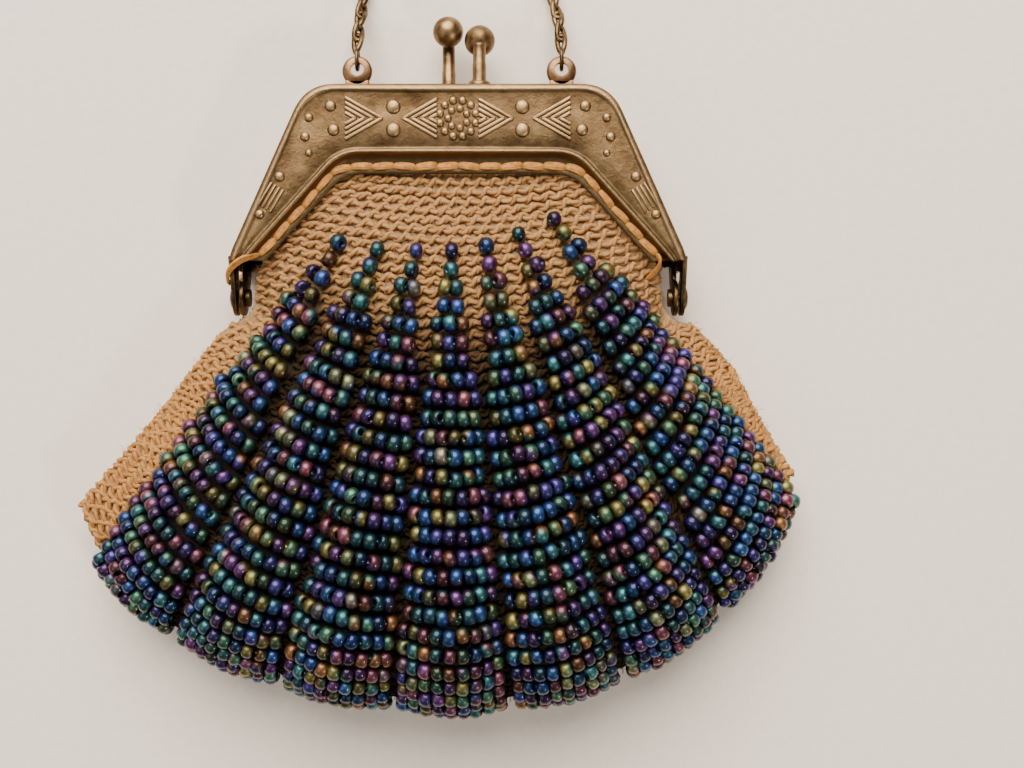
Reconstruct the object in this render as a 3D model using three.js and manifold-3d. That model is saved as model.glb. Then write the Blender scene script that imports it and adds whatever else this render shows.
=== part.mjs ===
// A knitted coin purse with ribs of seed beads, sewn into a hinged brass frame with a two-ball clasp and a
// carrying chain. It lies on its back on a table: front up (+Z), clasp towards +Y, chain laid out in a loop.
// Millimetres and degrees. The origin is on the table, under the middle of the bag's flat back.
import * as THREE from "three";
import { mergeVertices } from "three/addons/utils/BufferGeometryUtils.js";
import Module from "manifold-3d";

const wasm = await Module();
wasm.setup();

// Driving dimensions.
// Lengths inside the purse are measured from the middle of the hinge axis, seen from the front.
const HINGE_ABOVE_ORIGIN = 27;
const SHEET = 0.6; // stamped brass
const HALF_DEPTH = 4.8; // one frame half, parting face to front face
const PARTING_GAP = 0.3;
const DOT_RISE = 0.45; // embossed dots above the front face
const RIM_RISE = 0.3;
const CHEVRON_RISE = 0.28;
const FLANGE_DROP = 0.9; // sewing flange below the front face
const CLEARANCE = 0.3;
const FACE_Z = PARTING_GAP / 2 + HALF_DEPTH; // front face above the parting plane
const PARTING_Z = FACE_Z + DOT_RISE; // parting plane above the table

// Frame outlines, right half, from the hinge end up to the top corner. r rounds the corner.
const OUTER_EDGE = [
  { x: 30, y: 2.9, r: 0 },
  { x: 30, y: 5, r: 8 },
  { x: 19.9, y: 27.7, r: 6 },
];
const BORDER_EDGE = [
  { x: 29.8, y: 3, r: 0 },
  { x: 15.5, y: 19, r: 6 },
];
const FLANGE_EDGE = [
  { x: 25.8, y: 3, r: 0 },
  { x: 14.4, y: 15.2, r: 6 },
];
const SEW_LINE = [
  { x: 28, y: 3, r: 0 },
  { x: 15.7, y: 17, r: 5 },
];
const RIM_WIDTH = 0.9;
const BORDER_WIDTH = 0.8;
const FACE_END_Y = 4.6; // the front face stops here, and the hinge tabs go on
const CORNER_STEPS = 5;

// Embossed ornament, right half; every row is mirrored to the left.
const MOTIF_Y = 23.1; // middle line of the top band
const ROSETTE_RINGS = [
  { count: 12, radius: 2.35, dot: 0.42 },
  { count: 6, radius: 1.2, dot: 0.42 },
];
const EMBOSSED_DOTS = [
  { x: 8.4, y: MOTIF_Y + 1.5, dot: 0.9 },
  { x: 8.4, y: MOTIF_Y - 1.5, dot: 0.9 },
  { x: 16.6, y: 24.7, dot: 0.75 },
  { x: 16.2, y: 21.6, dot: 0.8 },
  { x: 19.4, y: 23.2, dot: 0.6 },
  { x: 19.9, y: 20.7, dot: 0.65 },
  { x: 19.4, y: 18.6, dot: 0.5 },
  { x: 23.2, y: 15.5, dot: 0.7 },
  { x: 25.8, y: 10.6, dot: 0.65 },
];
// A fan is nested chevrons: the outermost one's tip, the way that it opens, and its run.
const CHEVRON_FANS = [
  { apex: 7.1, opens: -1, run: 4.3 },
  { apex: 9.9, opens: 1, run: 4.7 },
];
const CHEVRONS_NESTED = 4;
const CHEVRON_STEP = 1.15;
const CHEVRON_SLOPE = 0.57;
const CHEVRON_WIDTH = 0.8; // along the run
const LEG_LINES = {
  count: 3,
  spacing: 0.75,
  width: 0.35,
  from: { x: 23.9, y: 14.1 },
  to: { x: 25.3, y: 11.5 },
};
const DOT_SIDES = 7;

// Sewing holes in the flange.
const SEW_HOLE_RADIUS = 0.4;
const SEW_HOLE_SPACING = 2.75;
const HOLE_SIDES = 6;

// Hinge: a tab of each half laps the other's at both ends, with a rivet through them.
const TAB_RADIUS = 2.4;
const TAB_TOP_Y = 5.2;
const RIVET = { shank: 0.6, hole: 0.85, outerHead: 1.5, innerHead: 1.2, head: 0.45, sides: 10 };
const INNER_TAB_SET_IN = SHEET + CLEARANCE;

// Clasp: a ball on a post on each half. The ball leans over towards the other half.
const BALL_RADIUS = 2.05;
const BALL_Y = { back: 35.7, front: 34.3 };
const BALL_LEAN = 1.85; // post axis to ball centre
const POST = {
  radius: 0.9,
  z: 2.3,
  sides: 12,
  foot: 1.5,
  footHeight: 0.7,
  tenon: 0.55,
  hole: 0.85,
  peen: 1.1,
};
const CLASP_X = { back: -1.5, front: 2.75 };

// Chain ears and chain.
const EAR = { x: 13.7, y: 30.45, radius: 2, hole: 0.9, holeLift: 0.25, thickness: 0.9, neck: 1.6, sides: 20 };
const END_LINK = { wire: 0.55, innerLength: 2.1, innerWidth: 1.55, wireSides: 6, sides: 12 };
const CHAIN_DIAMETER = 1.8;
const CHAIN_LIES_Z = CHAIN_DIAMETER / 2;
const CHAIN_STEPS = 56;
const CHAIN_SIDES = 8;
// The chain's route from the left ear to the right ear: down to the table, then once round in a plain loop.
const CHAIN_ROUTE = [
  { x: -13.7, y: 34.5, z: 4.75 },
  { x: -13.5, y: 37.4, z: 3.6 },
  { x: -13.2, y: 41.0, z: 1.8 },
  { x: -12.9, y: 45.5, z: 0.95 },
  { x: -12.9, y: 52.0, z: CHAIN_LIES_Z },
  { x: -13.5, y: 61.0, z: CHAIN_LIES_Z },
  { x: -13.6, y: 71.0, z: CHAIN_LIES_Z },
  { x: -12.2, y: 80.5, z: CHAIN_LIES_Z },
  { x: -8.6, y: 88.0, z: CHAIN_LIES_Z },
  { x: -3.0, y: 92.2, z: CHAIN_LIES_Z },
  { x: 3.2, y: 92.0, z: CHAIN_LIES_Z },
  { x: 8.6, y: 87.4, z: CHAIN_LIES_Z },
  { x: 11.6, y: 79.6, z: CHAIN_LIES_Z },
  { x: 12.3, y: 70.0, z: CHAIN_LIES_Z },
  { x: 11.8, y: 60.0, z: CHAIN_LIES_Z },
  { x: 11.4, y: 51.5, z: CHAIN_LIES_Z },
  { x: 11.9, y: 45.5, z: 0.95 },
  { x: 12.7, y: 41.0, z: 1.8 },
  { x: 13.4, y: 37.4, z: 3.6 },
  { x: 13.7, y: 34.5, z: 4.75 },
];

// Bag: a fan of knitting whose apex is above the frame. Angles are from straight down, radii from its apex.
const FAN_APEX_Y = 30;
const FAN_LEAN = { angle: -1.2, from: 40, to: 54 }; // below the hinges the bag swings a little to the left
const KNIT_WALL = 1;
const MOUTH_TOP_Y = 17.8; // the knitted edge, tucked under the sewing flange
const MOUTH_RISE = { from: 15.8, over: 8 }; // below the flange's edge the front starts to swell
// Beside the frame's legs the front lies flat from this share of the half angle outwards.
const FLANGE_COVERS = { share: 0.91, from: 34, to: 46 };
// Sections down the bag: half angle, and how much wider the right half is; then heights above the table of
// the front and back walls at the middle, and of their edges, which part along the frame and meet in the
// side seam below it.
const BAG_SECTIONS = [
  { radius: 12, halfAngle: 47.5, rightWider: 0, front: 8.6, back: 2.2, edgeFront: 8.5, edgeBack: 2.25 },
  { radius: 18, halfAngle: 47.5, rightWider: 0, front: 10.2, back: 2.1, edgeFront: 8.5, edgeBack: 2.25 },
  { radius: 26, halfAngle: 47.5, rightWider: 0, front: 12.6, back: 2.0, edgeFront: 8.3, edgeBack: 2.5 },
  { radius: 34, halfAngle: 46.8, rightWider: 0, front: 14.9, back: 2.0, edgeFront: 7.9, edgeBack: 2.9 },
  { radius: 38, halfAngle: 43.6, rightWider: 0, front: 16.0, back: 2.0, edgeFront: 7.2, edgeBack: 3.7 },
  { radius: 40, halfAngle: 41.8, rightWider: 0, front: 16.5, back: 2.0, edgeFront: 6.9, edgeBack: 4.2 },
  { radius: 42, halfAngle: 40.2, rightWider: 0, front: 16.9, back: 2.0, edgeFront: 6.6, edgeBack: 4.6 },
  { radius: 44, halfAngle: 41.2, rightWider: 0.5, front: 17.3, back: 2.0, edgeFront: 6.5, edgeBack: 4.7 },
  { radius: 46, halfAngle: 41.9, rightWider: 2, front: 17.7, back: 2.0, edgeFront: 6.4, edgeBack: 4.8 },
  { radius: 53, halfAngle: 40.8, rightWider: 3.3, front: 18.5, back: 2.0, edgeFront: 6.5, edgeBack: 4.8 },
  { radius: 60, halfAngle: 40.2, rightWider: 2.2, front: 19.2, back: 2.0, edgeFront: 6.6, edgeBack: 4.8 },
  { radius: 74, halfAngle: 40.0, rightWider: 0.6, front: 18.8, back: 2.0, edgeFront: 7.4, edgeBack: 5.2 },
  { radius: 86, halfAngle: 40.0, rightWider: 0.6, front: 18.2, back: 2.0, edgeFront: 8.2, edgeBack: 6.0 },
];
const FRONT_DOME_POWER = 2.2;
const BACK_FLAT_POWER = 5;
const BOTTOM_RADIUS = 82.6; // apex to the fold, between the ribs
// How far each bottom corner is drawn up.
const BOTTOM_CORNERS = { left: { cut: 7.5, power: 4 }, right: { cut: 13, power: 2.6 } };
const FOLD = { front: 8.6, back: 6.2, frontRoll: 12, backRoll: 8 };

// Ribs of beads: each column starts one bead wide and widens to a full gore at the fold.
const RIB_COUNT = 7;
const RIB_PITCH = 10.4;
const RIB_MIDDLE = 0.7; // the middle rib, from the bag's middle line
const LAST_RIB_WIDER = 2.6; // the rib beside the right strip
const BEAD_DIAMETER = 2.1;
const RIB_TOP_RADIUS = 24.5;
const RIB_TOP_WIDTH = 2.2;
const RIB_FOLD_WIDTH = 14.6;
// Across one rib: share of the pitch from its left gap, and how much of the bead layer stands there.
const RIB_PROFILE = [
  { share: 0, front: 0, back: 0 },
  { share: 0.18, front: 0.86, back: 1 },
  { share: 0.5, front: 1, back: 1 },
  { share: 0.82, front: 0.86, back: 1 },
];
const EDGE_LINES = [1, 0.5]; // lines of the plain strip between the last rib and the side seam
const ROW_SHARES = [0, 0.05, 0.12, 0.2, 0.29, 0.38, 0.43, 0.48, 0.58, 0.68, 0.77, 0.84, 0.9, 0.945, 0.98, 1];
const CAVITY_ACROSS = [-1, -0.86, -0.72, -0.48, -0.16, 0.16, 0.48, 0.72, 0.86, 1]; // shares of the half angle
const CAVITY_ROW_SHARES = [-0.04, 0, 0.05, 0.12, 0.2, 0.29, 0.38, 0.43, 0.48, 0.6, 0.72, 0.84, 0.92, 0.97, 1];
const CAVITY_MOUTH_OPEN = 3; // degrees past the knitted edge, so the mouth is cut open
const CAVITY_SEAM = 1.5; // solid knitting at the side seam and the fold

const MATERIALS = {
  gilt: new THREE.MeshStandardMaterial({ color: 0x8f7146, roughness: 0.42, metalness: 1 }),
  gilt_dark: new THREE.MeshStandardMaterial({ color: 0x6d5132, roughness: 0.5, metalness: 1 }),
  knit: new THREE.MeshStandardMaterial({ color: 0xb98f5c, roughness: 0.95, metalness: 0 }),
};

// Solids.
function solid(geometry) {
  const bare = geometry.clone();
  bare.deleteAttribute("normal");
  bare.deleteAttribute("uv");
  const merged = mergeVertices(bare, 1e-4);
  const vertProperties = merged.attributes.position.array;
  const triVerts = new Uint32Array(merged.index.array);
  return new wasm.Manifold(new wasm.Mesh({ numProp: 3, vertProperties, triVerts }));
}

function geometryOf(body) {
  const made = body.getMesh();
  const position = new THREE.BufferAttribute(new Float32Array(made.vertProperties), 3);
  const geometry = new THREE.BufferGeometry().setAttribute("position", position);
  geometry.setIndex(new THREE.BufferAttribute(made.triVerts, 1));
  geometry.computeVertexNormals();
  return geometry;
}

const joined = (bodies) => bodies.reduce((all, body) => all.add(body));
const extruded = (shape, depth) => new THREE.ExtrudeGeometry(shape, { depth, bevelEnabled: false });
const slab = (shape, low, high) => solid(extruded(shape, high - low).translate(0, 0, low));

function named(name, body, material) {
  const mesh = new THREE.Mesh(geometryOf(body), MATERIALS[material]);
  mesh.name = name;
  return mesh;
}

// Outlines.
function bothSides(rightRows) {
  const left = rightRows.map(({ x, y, r }) => ({ x: -x, y, r }));
  return [...left, ...[...rightRows].reverse()];
}

// The corners of an outline that runs left to right, moved towards its inside by inset.
function insetCorners(rows, inset) {
  const lines = rows.slice(1).map((row, i) => {
    const along = new THREE.Vector2(row.x - rows[i].x, row.y - rows[i].y).normalize();
    const inward = new THREE.Vector2(along.y, -along.x).multiplyScalar(inset);
    return { start: new THREE.Vector2(rows[i].x, rows[i].y).add(inward), along, inward };
  });
  return rows.map(({ x, y, r }, i) => {
    const before = lines[i - 1];
    const after = lines[i];
    const corner = new THREE.Vector2(x, y).add((before ?? after).inward);
    if (before && after) {
      const toNext = after.start.clone().sub(before.start);
      const distance = toNext.cross(after.along) / before.along.cross(after.along);
      corner.copy(before.start).addScaledVector(before.along, distance);
    }
    return { corner, r: Math.max(r - inset, 0) };
  });
}

// Points along an outline, with each corner rounded by a curve that meets both sides at its tangent points.
function outlinePoints(rightRows, inset = 0) {
  const corners = insetCorners(bothSides(rightRows), inset);
  const path = new THREE.Path().moveTo(corners[0].corner.x, corners[0].corner.y);
  corners.slice(1, -1).forEach(({ corner, r }, i) => {
    const back = corners[i].corner.clone().sub(corner).normalize();
    const on = corners[i + 2].corner.clone().sub(corner).normalize();
    const reach = r / Math.tan(Math.acos(back.dot(on)) / 2);
    const from = corner.clone().addScaledVector(back, reach);
    const to = corner.clone().addScaledVector(on, reach);
    path.lineTo(from.x, from.y).quadraticCurveTo(corner.x, corner.y, to.x, to.y);
  });
  const last = corners.at(-1).corner;
  return path.lineTo(last.x, last.y).getPoints(CORNER_STEPS);
}

const bandBetween = (outer, inner) => new THREE.Shape([...outer, ...[...inner].reverse()]);
const bandInside = (rows, width) => bandBetween(outlinePoints(rows), outlinePoints(rows, width));

function discShape(x, y, radius, sides) {
  const points = Array.from({ length: sides }, (_, i) => {
    const turn = ((i + 0.5) / sides) * 2 * Math.PI;
    return new THREE.Vector2(x + radius * Math.cos(turn), y + radius * Math.sin(turn));
  });
  return new THREE.Shape(points);
}

function turned(profile, sides) {
  return new THREE.LatheGeometry(profile.map(([radius, along]) => new THREE.Vector2(radius, along)), sides);
}

// Frame relief, standing on the front face of a half.
function embossedDot({ x, y, dot }) {
  const sunk = SHEET / 2;
  const rise = Math.min(DOT_RISE, dot * 0.7);
  const profile = [[0, -sunk], [dot, -sunk], [dot, 0], [dot * 0.72, rise * 0.7], [0, rise]];
  return solid(turned(profile, DOT_SIDES).rotateX(Math.PI / 2).translate(x, y, FACE_Z));
}

function chevronBar({ apex, opens, run, side }) {
  const along = side * opens;
  const tip = side * apex;
  const tail = tip + along * run;
  const height = run * CHEVRON_SLOPE;
  const innerHeight = (run - CHEVRON_WIDTH) * CHEVRON_SLOPE;
  const shape = new THREE.Shape([
    new THREE.Vector2(tail, MOTIF_Y + height),
    new THREE.Vector2(tip, MOTIF_Y),
    new THREE.Vector2(tail, MOTIF_Y - height),
    new THREE.Vector2(tail, MOTIF_Y - innerHeight),
    new THREE.Vector2(tip + along * CHEVRON_WIDTH, MOTIF_Y),
    new THREE.Vector2(tail, MOTIF_Y + innerHeight),
  ]);
  return slab(shape, FACE_Z - SHEET / 2, FACE_Z + CHEVRON_RISE);
}

function legLine(index, side) {
  const { spacing, width, from, to, count } = LEG_LINES;
  const shift = (index - (count - 1) / 2) * spacing;
  const along = new THREE.Vector2(to.x - from.x, to.y - from.y).normalize();
  const across = new THREE.Vector2(-along.y, along.x);
  const corner = (end, offset) => {
    const point = new THREE.Vector2(end.x, end.y).addScaledVector(across, shift + offset);
    return point.multiply(new THREE.Vector2(side, 1));
  };
  const half = width / 2;
  const corners = [corner(from, -half), corner(from, half), corner(to, half), corner(to, -half)];
  const shape = new THREE.Shape(corners);
  return slab(shape, FACE_Z - SHEET / 2, FACE_Z + CHEVRON_RISE);
}

function ornament() {
  const rosette = ROSETTE_RINGS.flatMap(({ count, radius, dot }) =>
    Array.from({ length: count }, (_, i) => {
      const turn = ((i + 0.5) / count) * 2 * Math.PI;
      return { x: radius * Math.cos(turn), y: MOTIF_Y + radius * Math.sin(turn), dot };
    }),
  );
  const sides = [-1, 1];
  const dots = sides.flatMap((side) => EMBOSSED_DOTS.map((row) => ({ ...row, x: side * row.x })));
  const chevrons = CHEVRON_FANS.flatMap(({ apex, opens, run }) =>
    Array.from({ length: CHEVRONS_NESTED }, (_, i) => {
      return { apex: apex + opens * i * CHEVRON_STEP, opens, run: run - i * CHEVRON_STEP };
    }),
  );
  const bars = sides.flatMap((side) => chevrons.map((row) => chevronBar({ ...row, side })));
  const lines = sides.flatMap((side) => Array.from({ length: LEG_LINES.count }, (_, i) => legLine(i, side)));
  return joined([...rosette, ...dots].map(embossedDot).concat(bars, lines));
}

// Frame halves, made with the parting plane at z = 0 and the front face up.
function sewingHoles() {
  const line = new THREE.SplineCurve(outlinePoints(SEW_LINE));
  const count = Math.floor(line.getLength() / SEW_HOLE_SPACING);
  const centres = line.getSpacedPoints(count).filter(({ y }) => y > FACE_END_Y + 2 * SEW_HOLE_RADIUS);
  const low = FACE_Z - FLANGE_DROP - 2 * SHEET;
  const high = FACE_Z - FLANGE_DROP + SHEET;
  return joined(centres.map(({ x, y }) => slab(discShape(x, y, SEW_HOLE_RADIUS, HOLE_SIDES), low, high)));
}

function stampedFace() {
  const outer = outlinePoints(OUTER_EDGE);
  const border = outlinePoints(BORDER_EDGE);
  const flangeTop = FACE_Z - FLANGE_DROP;
  const face = slab(bandBetween(outer, border), FACE_Z - SHEET, FACE_Z);
  const rim = slab(bandInside(OUTER_EDGE, RIM_WIDTH), FACE_Z - SHEET, FACE_Z + RIM_RISE);
  const borderBead = slab(
    bandBetween(outlinePoints(BORDER_EDGE, -BORDER_WIDTH), border),
    flangeTop - SHEET,
    FACE_Z + RIM_RISE,
  );
  const flange = slab(bandBetween(border, outlinePoints(FLANGE_EDGE)), flangeTop - SHEET, flangeTop);
  const belowFace = solid(new THREE.BoxGeometry(80, 20, 40).translate(0, FACE_END_Y - 10, 0));
  return joined([face, rim, borderBead, flange, ornament()]).subtract(belowFace).subtract(sewingHoles());
}

// A hinge tab: a tongue in the side wall's plane, with a round end about the hinge axis.
function hingeTab(side, setIn) {
  const shape = new THREE.Shape()
    .moveTo(PARTING_GAP / 2, TAB_TOP_Y)
    .lineTo(PARTING_GAP / 2, TAB_RADIUS)
    .absarc(0, 0, TAB_RADIUS, Math.PI / 2, 2 * Math.PI, false)
    .lineTo(FACE_Z, TAB_TOP_Y);
  const upright = new THREE.Matrix4().makeBasis(
    new THREE.Vector3(0, 0, 1),
    new THREE.Vector3(0, 1, 0),
    new THREE.Vector3(-1, 0, 0),
  );
  const outerX = side > 0 ? OUTER_EDGE[0].x - setIn : -OUTER_EDGE[0].x + setIn + SHEET;
  const geometry = new THREE.ExtrudeGeometry(shape, { depth: SHEET, bevelEnabled: false, curveSegments: 8 });
  return solid(geometry.applyMatrix4(upright).translate(outerX, 0, 0));
}

// The block that carries a set-in tab on the inside of the side wall.
function tabCarrier(side, setIn) {
  const [low, high] = [TAB_TOP_Y - 1.6, TAB_TOP_Y];
  const [inner, outer] = [OUTER_EDGE[0].x - setIn - SHEET, OUTER_EDGE[0].x - SHEET / 2];
  const geometry = new THREE.BoxGeometry(outer - inner, high - low, HALF_DEPTH - 2 * SHEET);
  const z = PARTING_GAP / 2 + (HALF_DEPTH - 2 * SHEET) / 2;
  return solid(geometry.translate((side * (inner + outer)) / 2, (low + high) / 2, z));
}

const crosswise = (geometry) => geometry.rotateZ(-Math.PI / 2);

function frameHalf({ tabsSetIn, claspX, ears }) {
  const wall = slab(bandInside(OUTER_EDGE, SHEET), PARTING_GAP / 2, FACE_Z);
  const tabs = [-1, 1].flatMap((side) =>
    tabsSetIn ? [hingeTab(side, tabsSetIn), tabCarrier(side, tabsSetIn)] : [hingeTab(side, 0)],
  );
  const rivetHoles = solid(crosswise(new THREE.CylinderGeometry(RIVET.hole, RIVET.hole, 80, RIVET.sides)));
  const top = OUTER_EDGE.at(-1).y;
  const postHole = solid(
    new THREE.CylinderGeometry(POST.hole, POST.hole, 4, POST.sides).translate(claspX, top, POST.z),
  );
  const half = joined([stampedFace(), wall, ...tabs]).subtract(rivetHoles).subtract(postHole);
  return ears ? joined([half, chainEar(-1), chainEar(1)]) : half;
}

// A flat ear soldered to the top wall of the back half, just behind the parting plane.
function chainEar(side) {
  const { x, y, radius, hole, holeLift, thickness, neck, sides } = EAR;
  const top = OUTER_EDGE.at(-1).y;
  const low = PARTING_GAP / 2;
  const disc = slab(discShape(side * x, y, radius, sides), low, low + thickness);
  const neckBlock = new THREE.BoxGeometry(2 * neck, y - top + SHEET / 2, thickness);
  neckBlock.translate(side * x, (y + top - SHEET / 2) / 2, low + thickness / 2);
  const bore = slab(discShape(side * x, y + holeLift, hole, sides / 2), low - 1, low + thickness + 1);
  return disc.add(solid(neckBlock)).subtract(bore);
}

function hingeRivet(side) {
  const { shank, outerHead, innerHead, head, sides } = RIVET;
  const outer = OUTER_EDGE[0].x + CLEARANCE / 2;
  const inner = OUTER_EDGE[0].x - INNER_TAB_SET_IN - SHEET - CLEARANCE / 2;
  const profile = [
    [0, inner - head],
    [innerHead, inner - head],
    [innerHead, inner],
    [shank, inner],
    [shank, outer],
    [outerHead, outer],
    [outerHead * 0.8, outer + head * 0.7],
    [0, outer + head],
  ];
  const body = solid(crosswise(turned(profile, sides)));
  return side > 0 ? body : body.rotate([0, 0, 180]);
}

// A clasp post with its foot on the frame's top wall, a peened tenon inside it, and its ball.
function claspPost(half) {
  const { radius, foot, footHeight, tenon, peen, sides } = POST;
  const seat = OUTER_EDGE.at(-1).y;
  const tip = BALL_Y[half] - BALL_RADIUS * 0.25;
  const profile = [
    [0, seat - SHEET - CLEARANCE - 0.5],
    [peen, seat - SHEET - CLEARANCE - 0.5],
    [peen, seat - SHEET - CLEARANCE],
    [tenon, seat - SHEET - CLEARANCE],
    [tenon, seat + CLEARANCE / 2],
    [foot, seat + CLEARANCE / 2],
    [foot * 0.92, seat + footHeight],
    [radius, seat + footHeight],
    [radius, tip - radius * 0.6],
    [radius * 0.7, tip - radius * 0.1],
    [0, tip],
  ];
  const ball = new THREE.SphereGeometry(BALL_RADIUS, sides, sides / 2).translate(0, BALL_Y[half], -BALL_LEAN);
  return solid(turned(profile, sides)).add(solid(ball));
}

// Chain: its fine twisted links are drawn as one round cord of their outside diameter.
function chainCord() {
  const route = new THREE.CatmullRomCurve3(CHAIN_ROUTE.map(({ x, y, z }) => new THREE.Vector3(x, y, z)));
  const section = discShape(0, 0, CHAIN_DIAMETER / 2, CHAIN_SIDES);
  const sweep = { steps: CHAIN_STEPS, extrudePath: route, bevelEnabled: false };
  return solid(new THREE.ExtrudeGeometry(section, sweep));
}

// The chain's end link stands upright through the ear's hole.
function endLink(side) {
  const { wire, innerLength, innerWidth, wireSides, sides } = END_LINK;
  const holeY = EAR.y + EAR.holeLift;
  const middleY = holeY + wire / 2 + innerLength / 2;
  const middleZ = -PARTING_GAP / 2 - EAR.thickness / 2;
  const [halfLength, halfWidth] = [(innerLength + wire) / 2, (innerWidth + wire) / 2];
  const ring = new THREE.TorusGeometry(1, wire / 2, wireSides, sides);
  const position = ring.attributes.position;
  for (let i = 0; i < position.count; i++) {
    const point = new THREE.Vector3().fromBufferAttribute(position, i);
    const reach = Math.hypot(point.x, point.y);
    const out = new THREE.Vector2(point.x, point.y).divideScalar(reach);
    const rim = reach - 1;
    position.setXYZ(i, point.z, out.y * (halfLength + rim), -out.x * (halfWidth + rim));
  }
  return solid(ring).translate([side * EAR.x, middleY, middleZ]);
}

// Bag.
function readSections(key, radius) {
  const rows = BAG_SECTIONS;
  const next = Math.min(Math.max(rows.findIndex((row) => row.radius > radius), 1), rows.length - 1);
  const [a, b] = radius > rows.at(-1).radius ? rows.slice(-2) : [rows[next - 1], rows[next]];
  const share = THREE.MathUtils.clamp((radius - a.radius) / (b.radius - a.radius), 0, 1);
  return THREE.MathUtils.lerp(a[key], b[key], share);
}

function fanPoint(radius, angle) {
  const lean = FAN_LEAN.angle * THREE.MathUtils.smoothstep(radius, FAN_LEAN.from, FAN_LEAN.to);
  const turn = THREE.MathUtils.degToRad(angle + lean);
  return { x: radius * Math.sin(turn), y: FAN_APEX_Y - radius * Math.cos(turn) };
}

const mouthRadius = (angle) => (FAN_APEX_Y - MOUTH_TOP_Y) / Math.cos(THREE.MathUtils.degToRad(angle));

function seamAngle(radius, side) {
  return readSections("halfAngle", radius) + (side > 0 ? readSections("rightWider", radius) : 0);
}

const seamShare = (angle, radius) => Math.min(Math.abs(angle) / seamAngle(radius, angle), 1);

function foldRadius(angle) {
  const share = Math.min(Math.abs(angle) / BAG_SECTIONS.at(-1).halfAngle, 1);
  const { cut, power } = angle < 0 ? BOTTOM_CORNERS.left : BOTTOM_CORNERS.right;
  return BOTTOM_RADIUS - cut * share ** power;
}

// How far a wall has rolled towards the fold: 1 up the wall, 0 at the fold itself.
function rollShare(toFold, roll) {
  const share = THREE.MathUtils.clamp(toFold / roll, 0, 1);
  return Math.sqrt(1 - (1 - share) ** 2);
}

function knitHeight(wall, radius, angle, toFold) {
  const front = wall === "front";
  const edge = readSections(front ? "edgeFront" : "edgeBack", radius);
  const middle = readSections(wall, radius);
  const { share, from, to } = FLANGE_COVERS;
  const swellFrom = THREE.MathUtils.lerp(share, 1, THREE.MathUtils.smoothstep(radius, from, to));
  const across = Math.min(seamShare(angle, radius) / swellFrom, 1);
  const dome = 1 - across ** (front ? FRONT_DOME_POWER : BACK_FLAT_POWER);
  const belowMouth = MOUTH_RISE.from - fanPoint(radius, angle).y;
  const height = edge + (middle - edge) * dome * THREE.MathUtils.smoothstep(belowMouth, 0, MOUTH_RISE.over);
  return FOLD[wall] + (height - FOLD[wall]) * rollShare(toFold, FOLD[`${wall}Roll`]);
}

// The bead layer's share at a point: it starts with one bead at a rib's top and widens with the rib.
function ribShare(radius, fromMiddle, layer) {
  const down = THREE.MathUtils.clamp((radius - RIB_TOP_RADIUS) / (BOTTOM_RADIUS - RIB_TOP_RADIUS), 0, 1);
  const halfWidth = THREE.MathUtils.lerp(RIB_TOP_WIDTH, RIB_FOLD_WIDTH, down) / 2;
  const away = radius * THREE.MathUtils.degToRad(fromMiddle);
  const inside = THREE.MathUtils.clamp((halfWidth + BEAD_DIAMETER / 4 - away) / (BEAD_DIAMETER / 2), 0, 1);
  const [first, full] = [RIB_TOP_RADIUS - BEAD_DIAMETER, RIB_TOP_RADIUS + BEAD_DIAMETER];
  const started = THREE.MathUtils.smoothstep(radius, first, full);
  return layer * inside * started;
}

// The bag's lines, left seam to right seam. A rib's lines keep their angle.
// The plain strips' lines follow the seam.
function bagLines() {
  const ribEdge = (RIB_COUNT * RIB_PITCH) / 2;
  const [first, last] = [RIB_MIDDLE - ribEdge, RIB_MIDDLE + ribEdge + LAST_RIB_WIDER];
  const strip = (side, angle) => EDGE_LINES.map((share) => ({ side, share, angle }));
  const ribs = Array.from({ length: RIB_COUNT }, (_, rib) => {
    const width = RIB_PITCH + (rib === RIB_COUNT - 1 ? LAST_RIB_WIDER : 0);
    return RIB_PROFILE.map(({ share, front, back }) => ({
      angle: first + rib * RIB_PITCH + share * width,
      fromMiddle: Math.abs(share - 0.5) * width,
      share: 0,
      front,
      back,
    }));
  }).flat();
  const lastGap = { angle: last, fromMiddle: RIB_PITCH / 2, share: 0, front: 0, back: 0 };
  return [...strip(-1, first), ...ribs, lastGap, ...strip(1, last).reverse()];
}

function bagPoint(wall, line, rowShare) {
  let angle = line.angle;
  let radius = 0;
  // A seam line's angle follows the section that it crosses, so its radius and angle settle together.
  for (let i = 0; i < 4; i++) {
    radius = THREE.MathUtils.lerp(mouthRadius(angle), foldRadius(angle), rowShare);
    const seam = line.side * seamAngle(radius, line.side);
    if (line.share) angle = THREE.MathUtils.lerp(line.angle, seam, line.share);
  }
  const layerAt = (at) => (line.share ? 0 : ribShare(at, line.fromMiddle, line[wall]) * BEAD_DIAMETER);
  const toFold = foldRadius(angle) - radius;
  const roll = rollShare(toFold, FOLD[`${wall}Roll`]);
  const lift = layerAt(radius) * roll;
  const height = knitHeight(wall, radius, angle, toFold) + (wall === "front" ? lift : -lift);
  return { ...fanPoint(radius + layerAt(BOTTOM_RADIUS) * (1 - roll), angle), z: Math.max(height, 0) };
}

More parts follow.
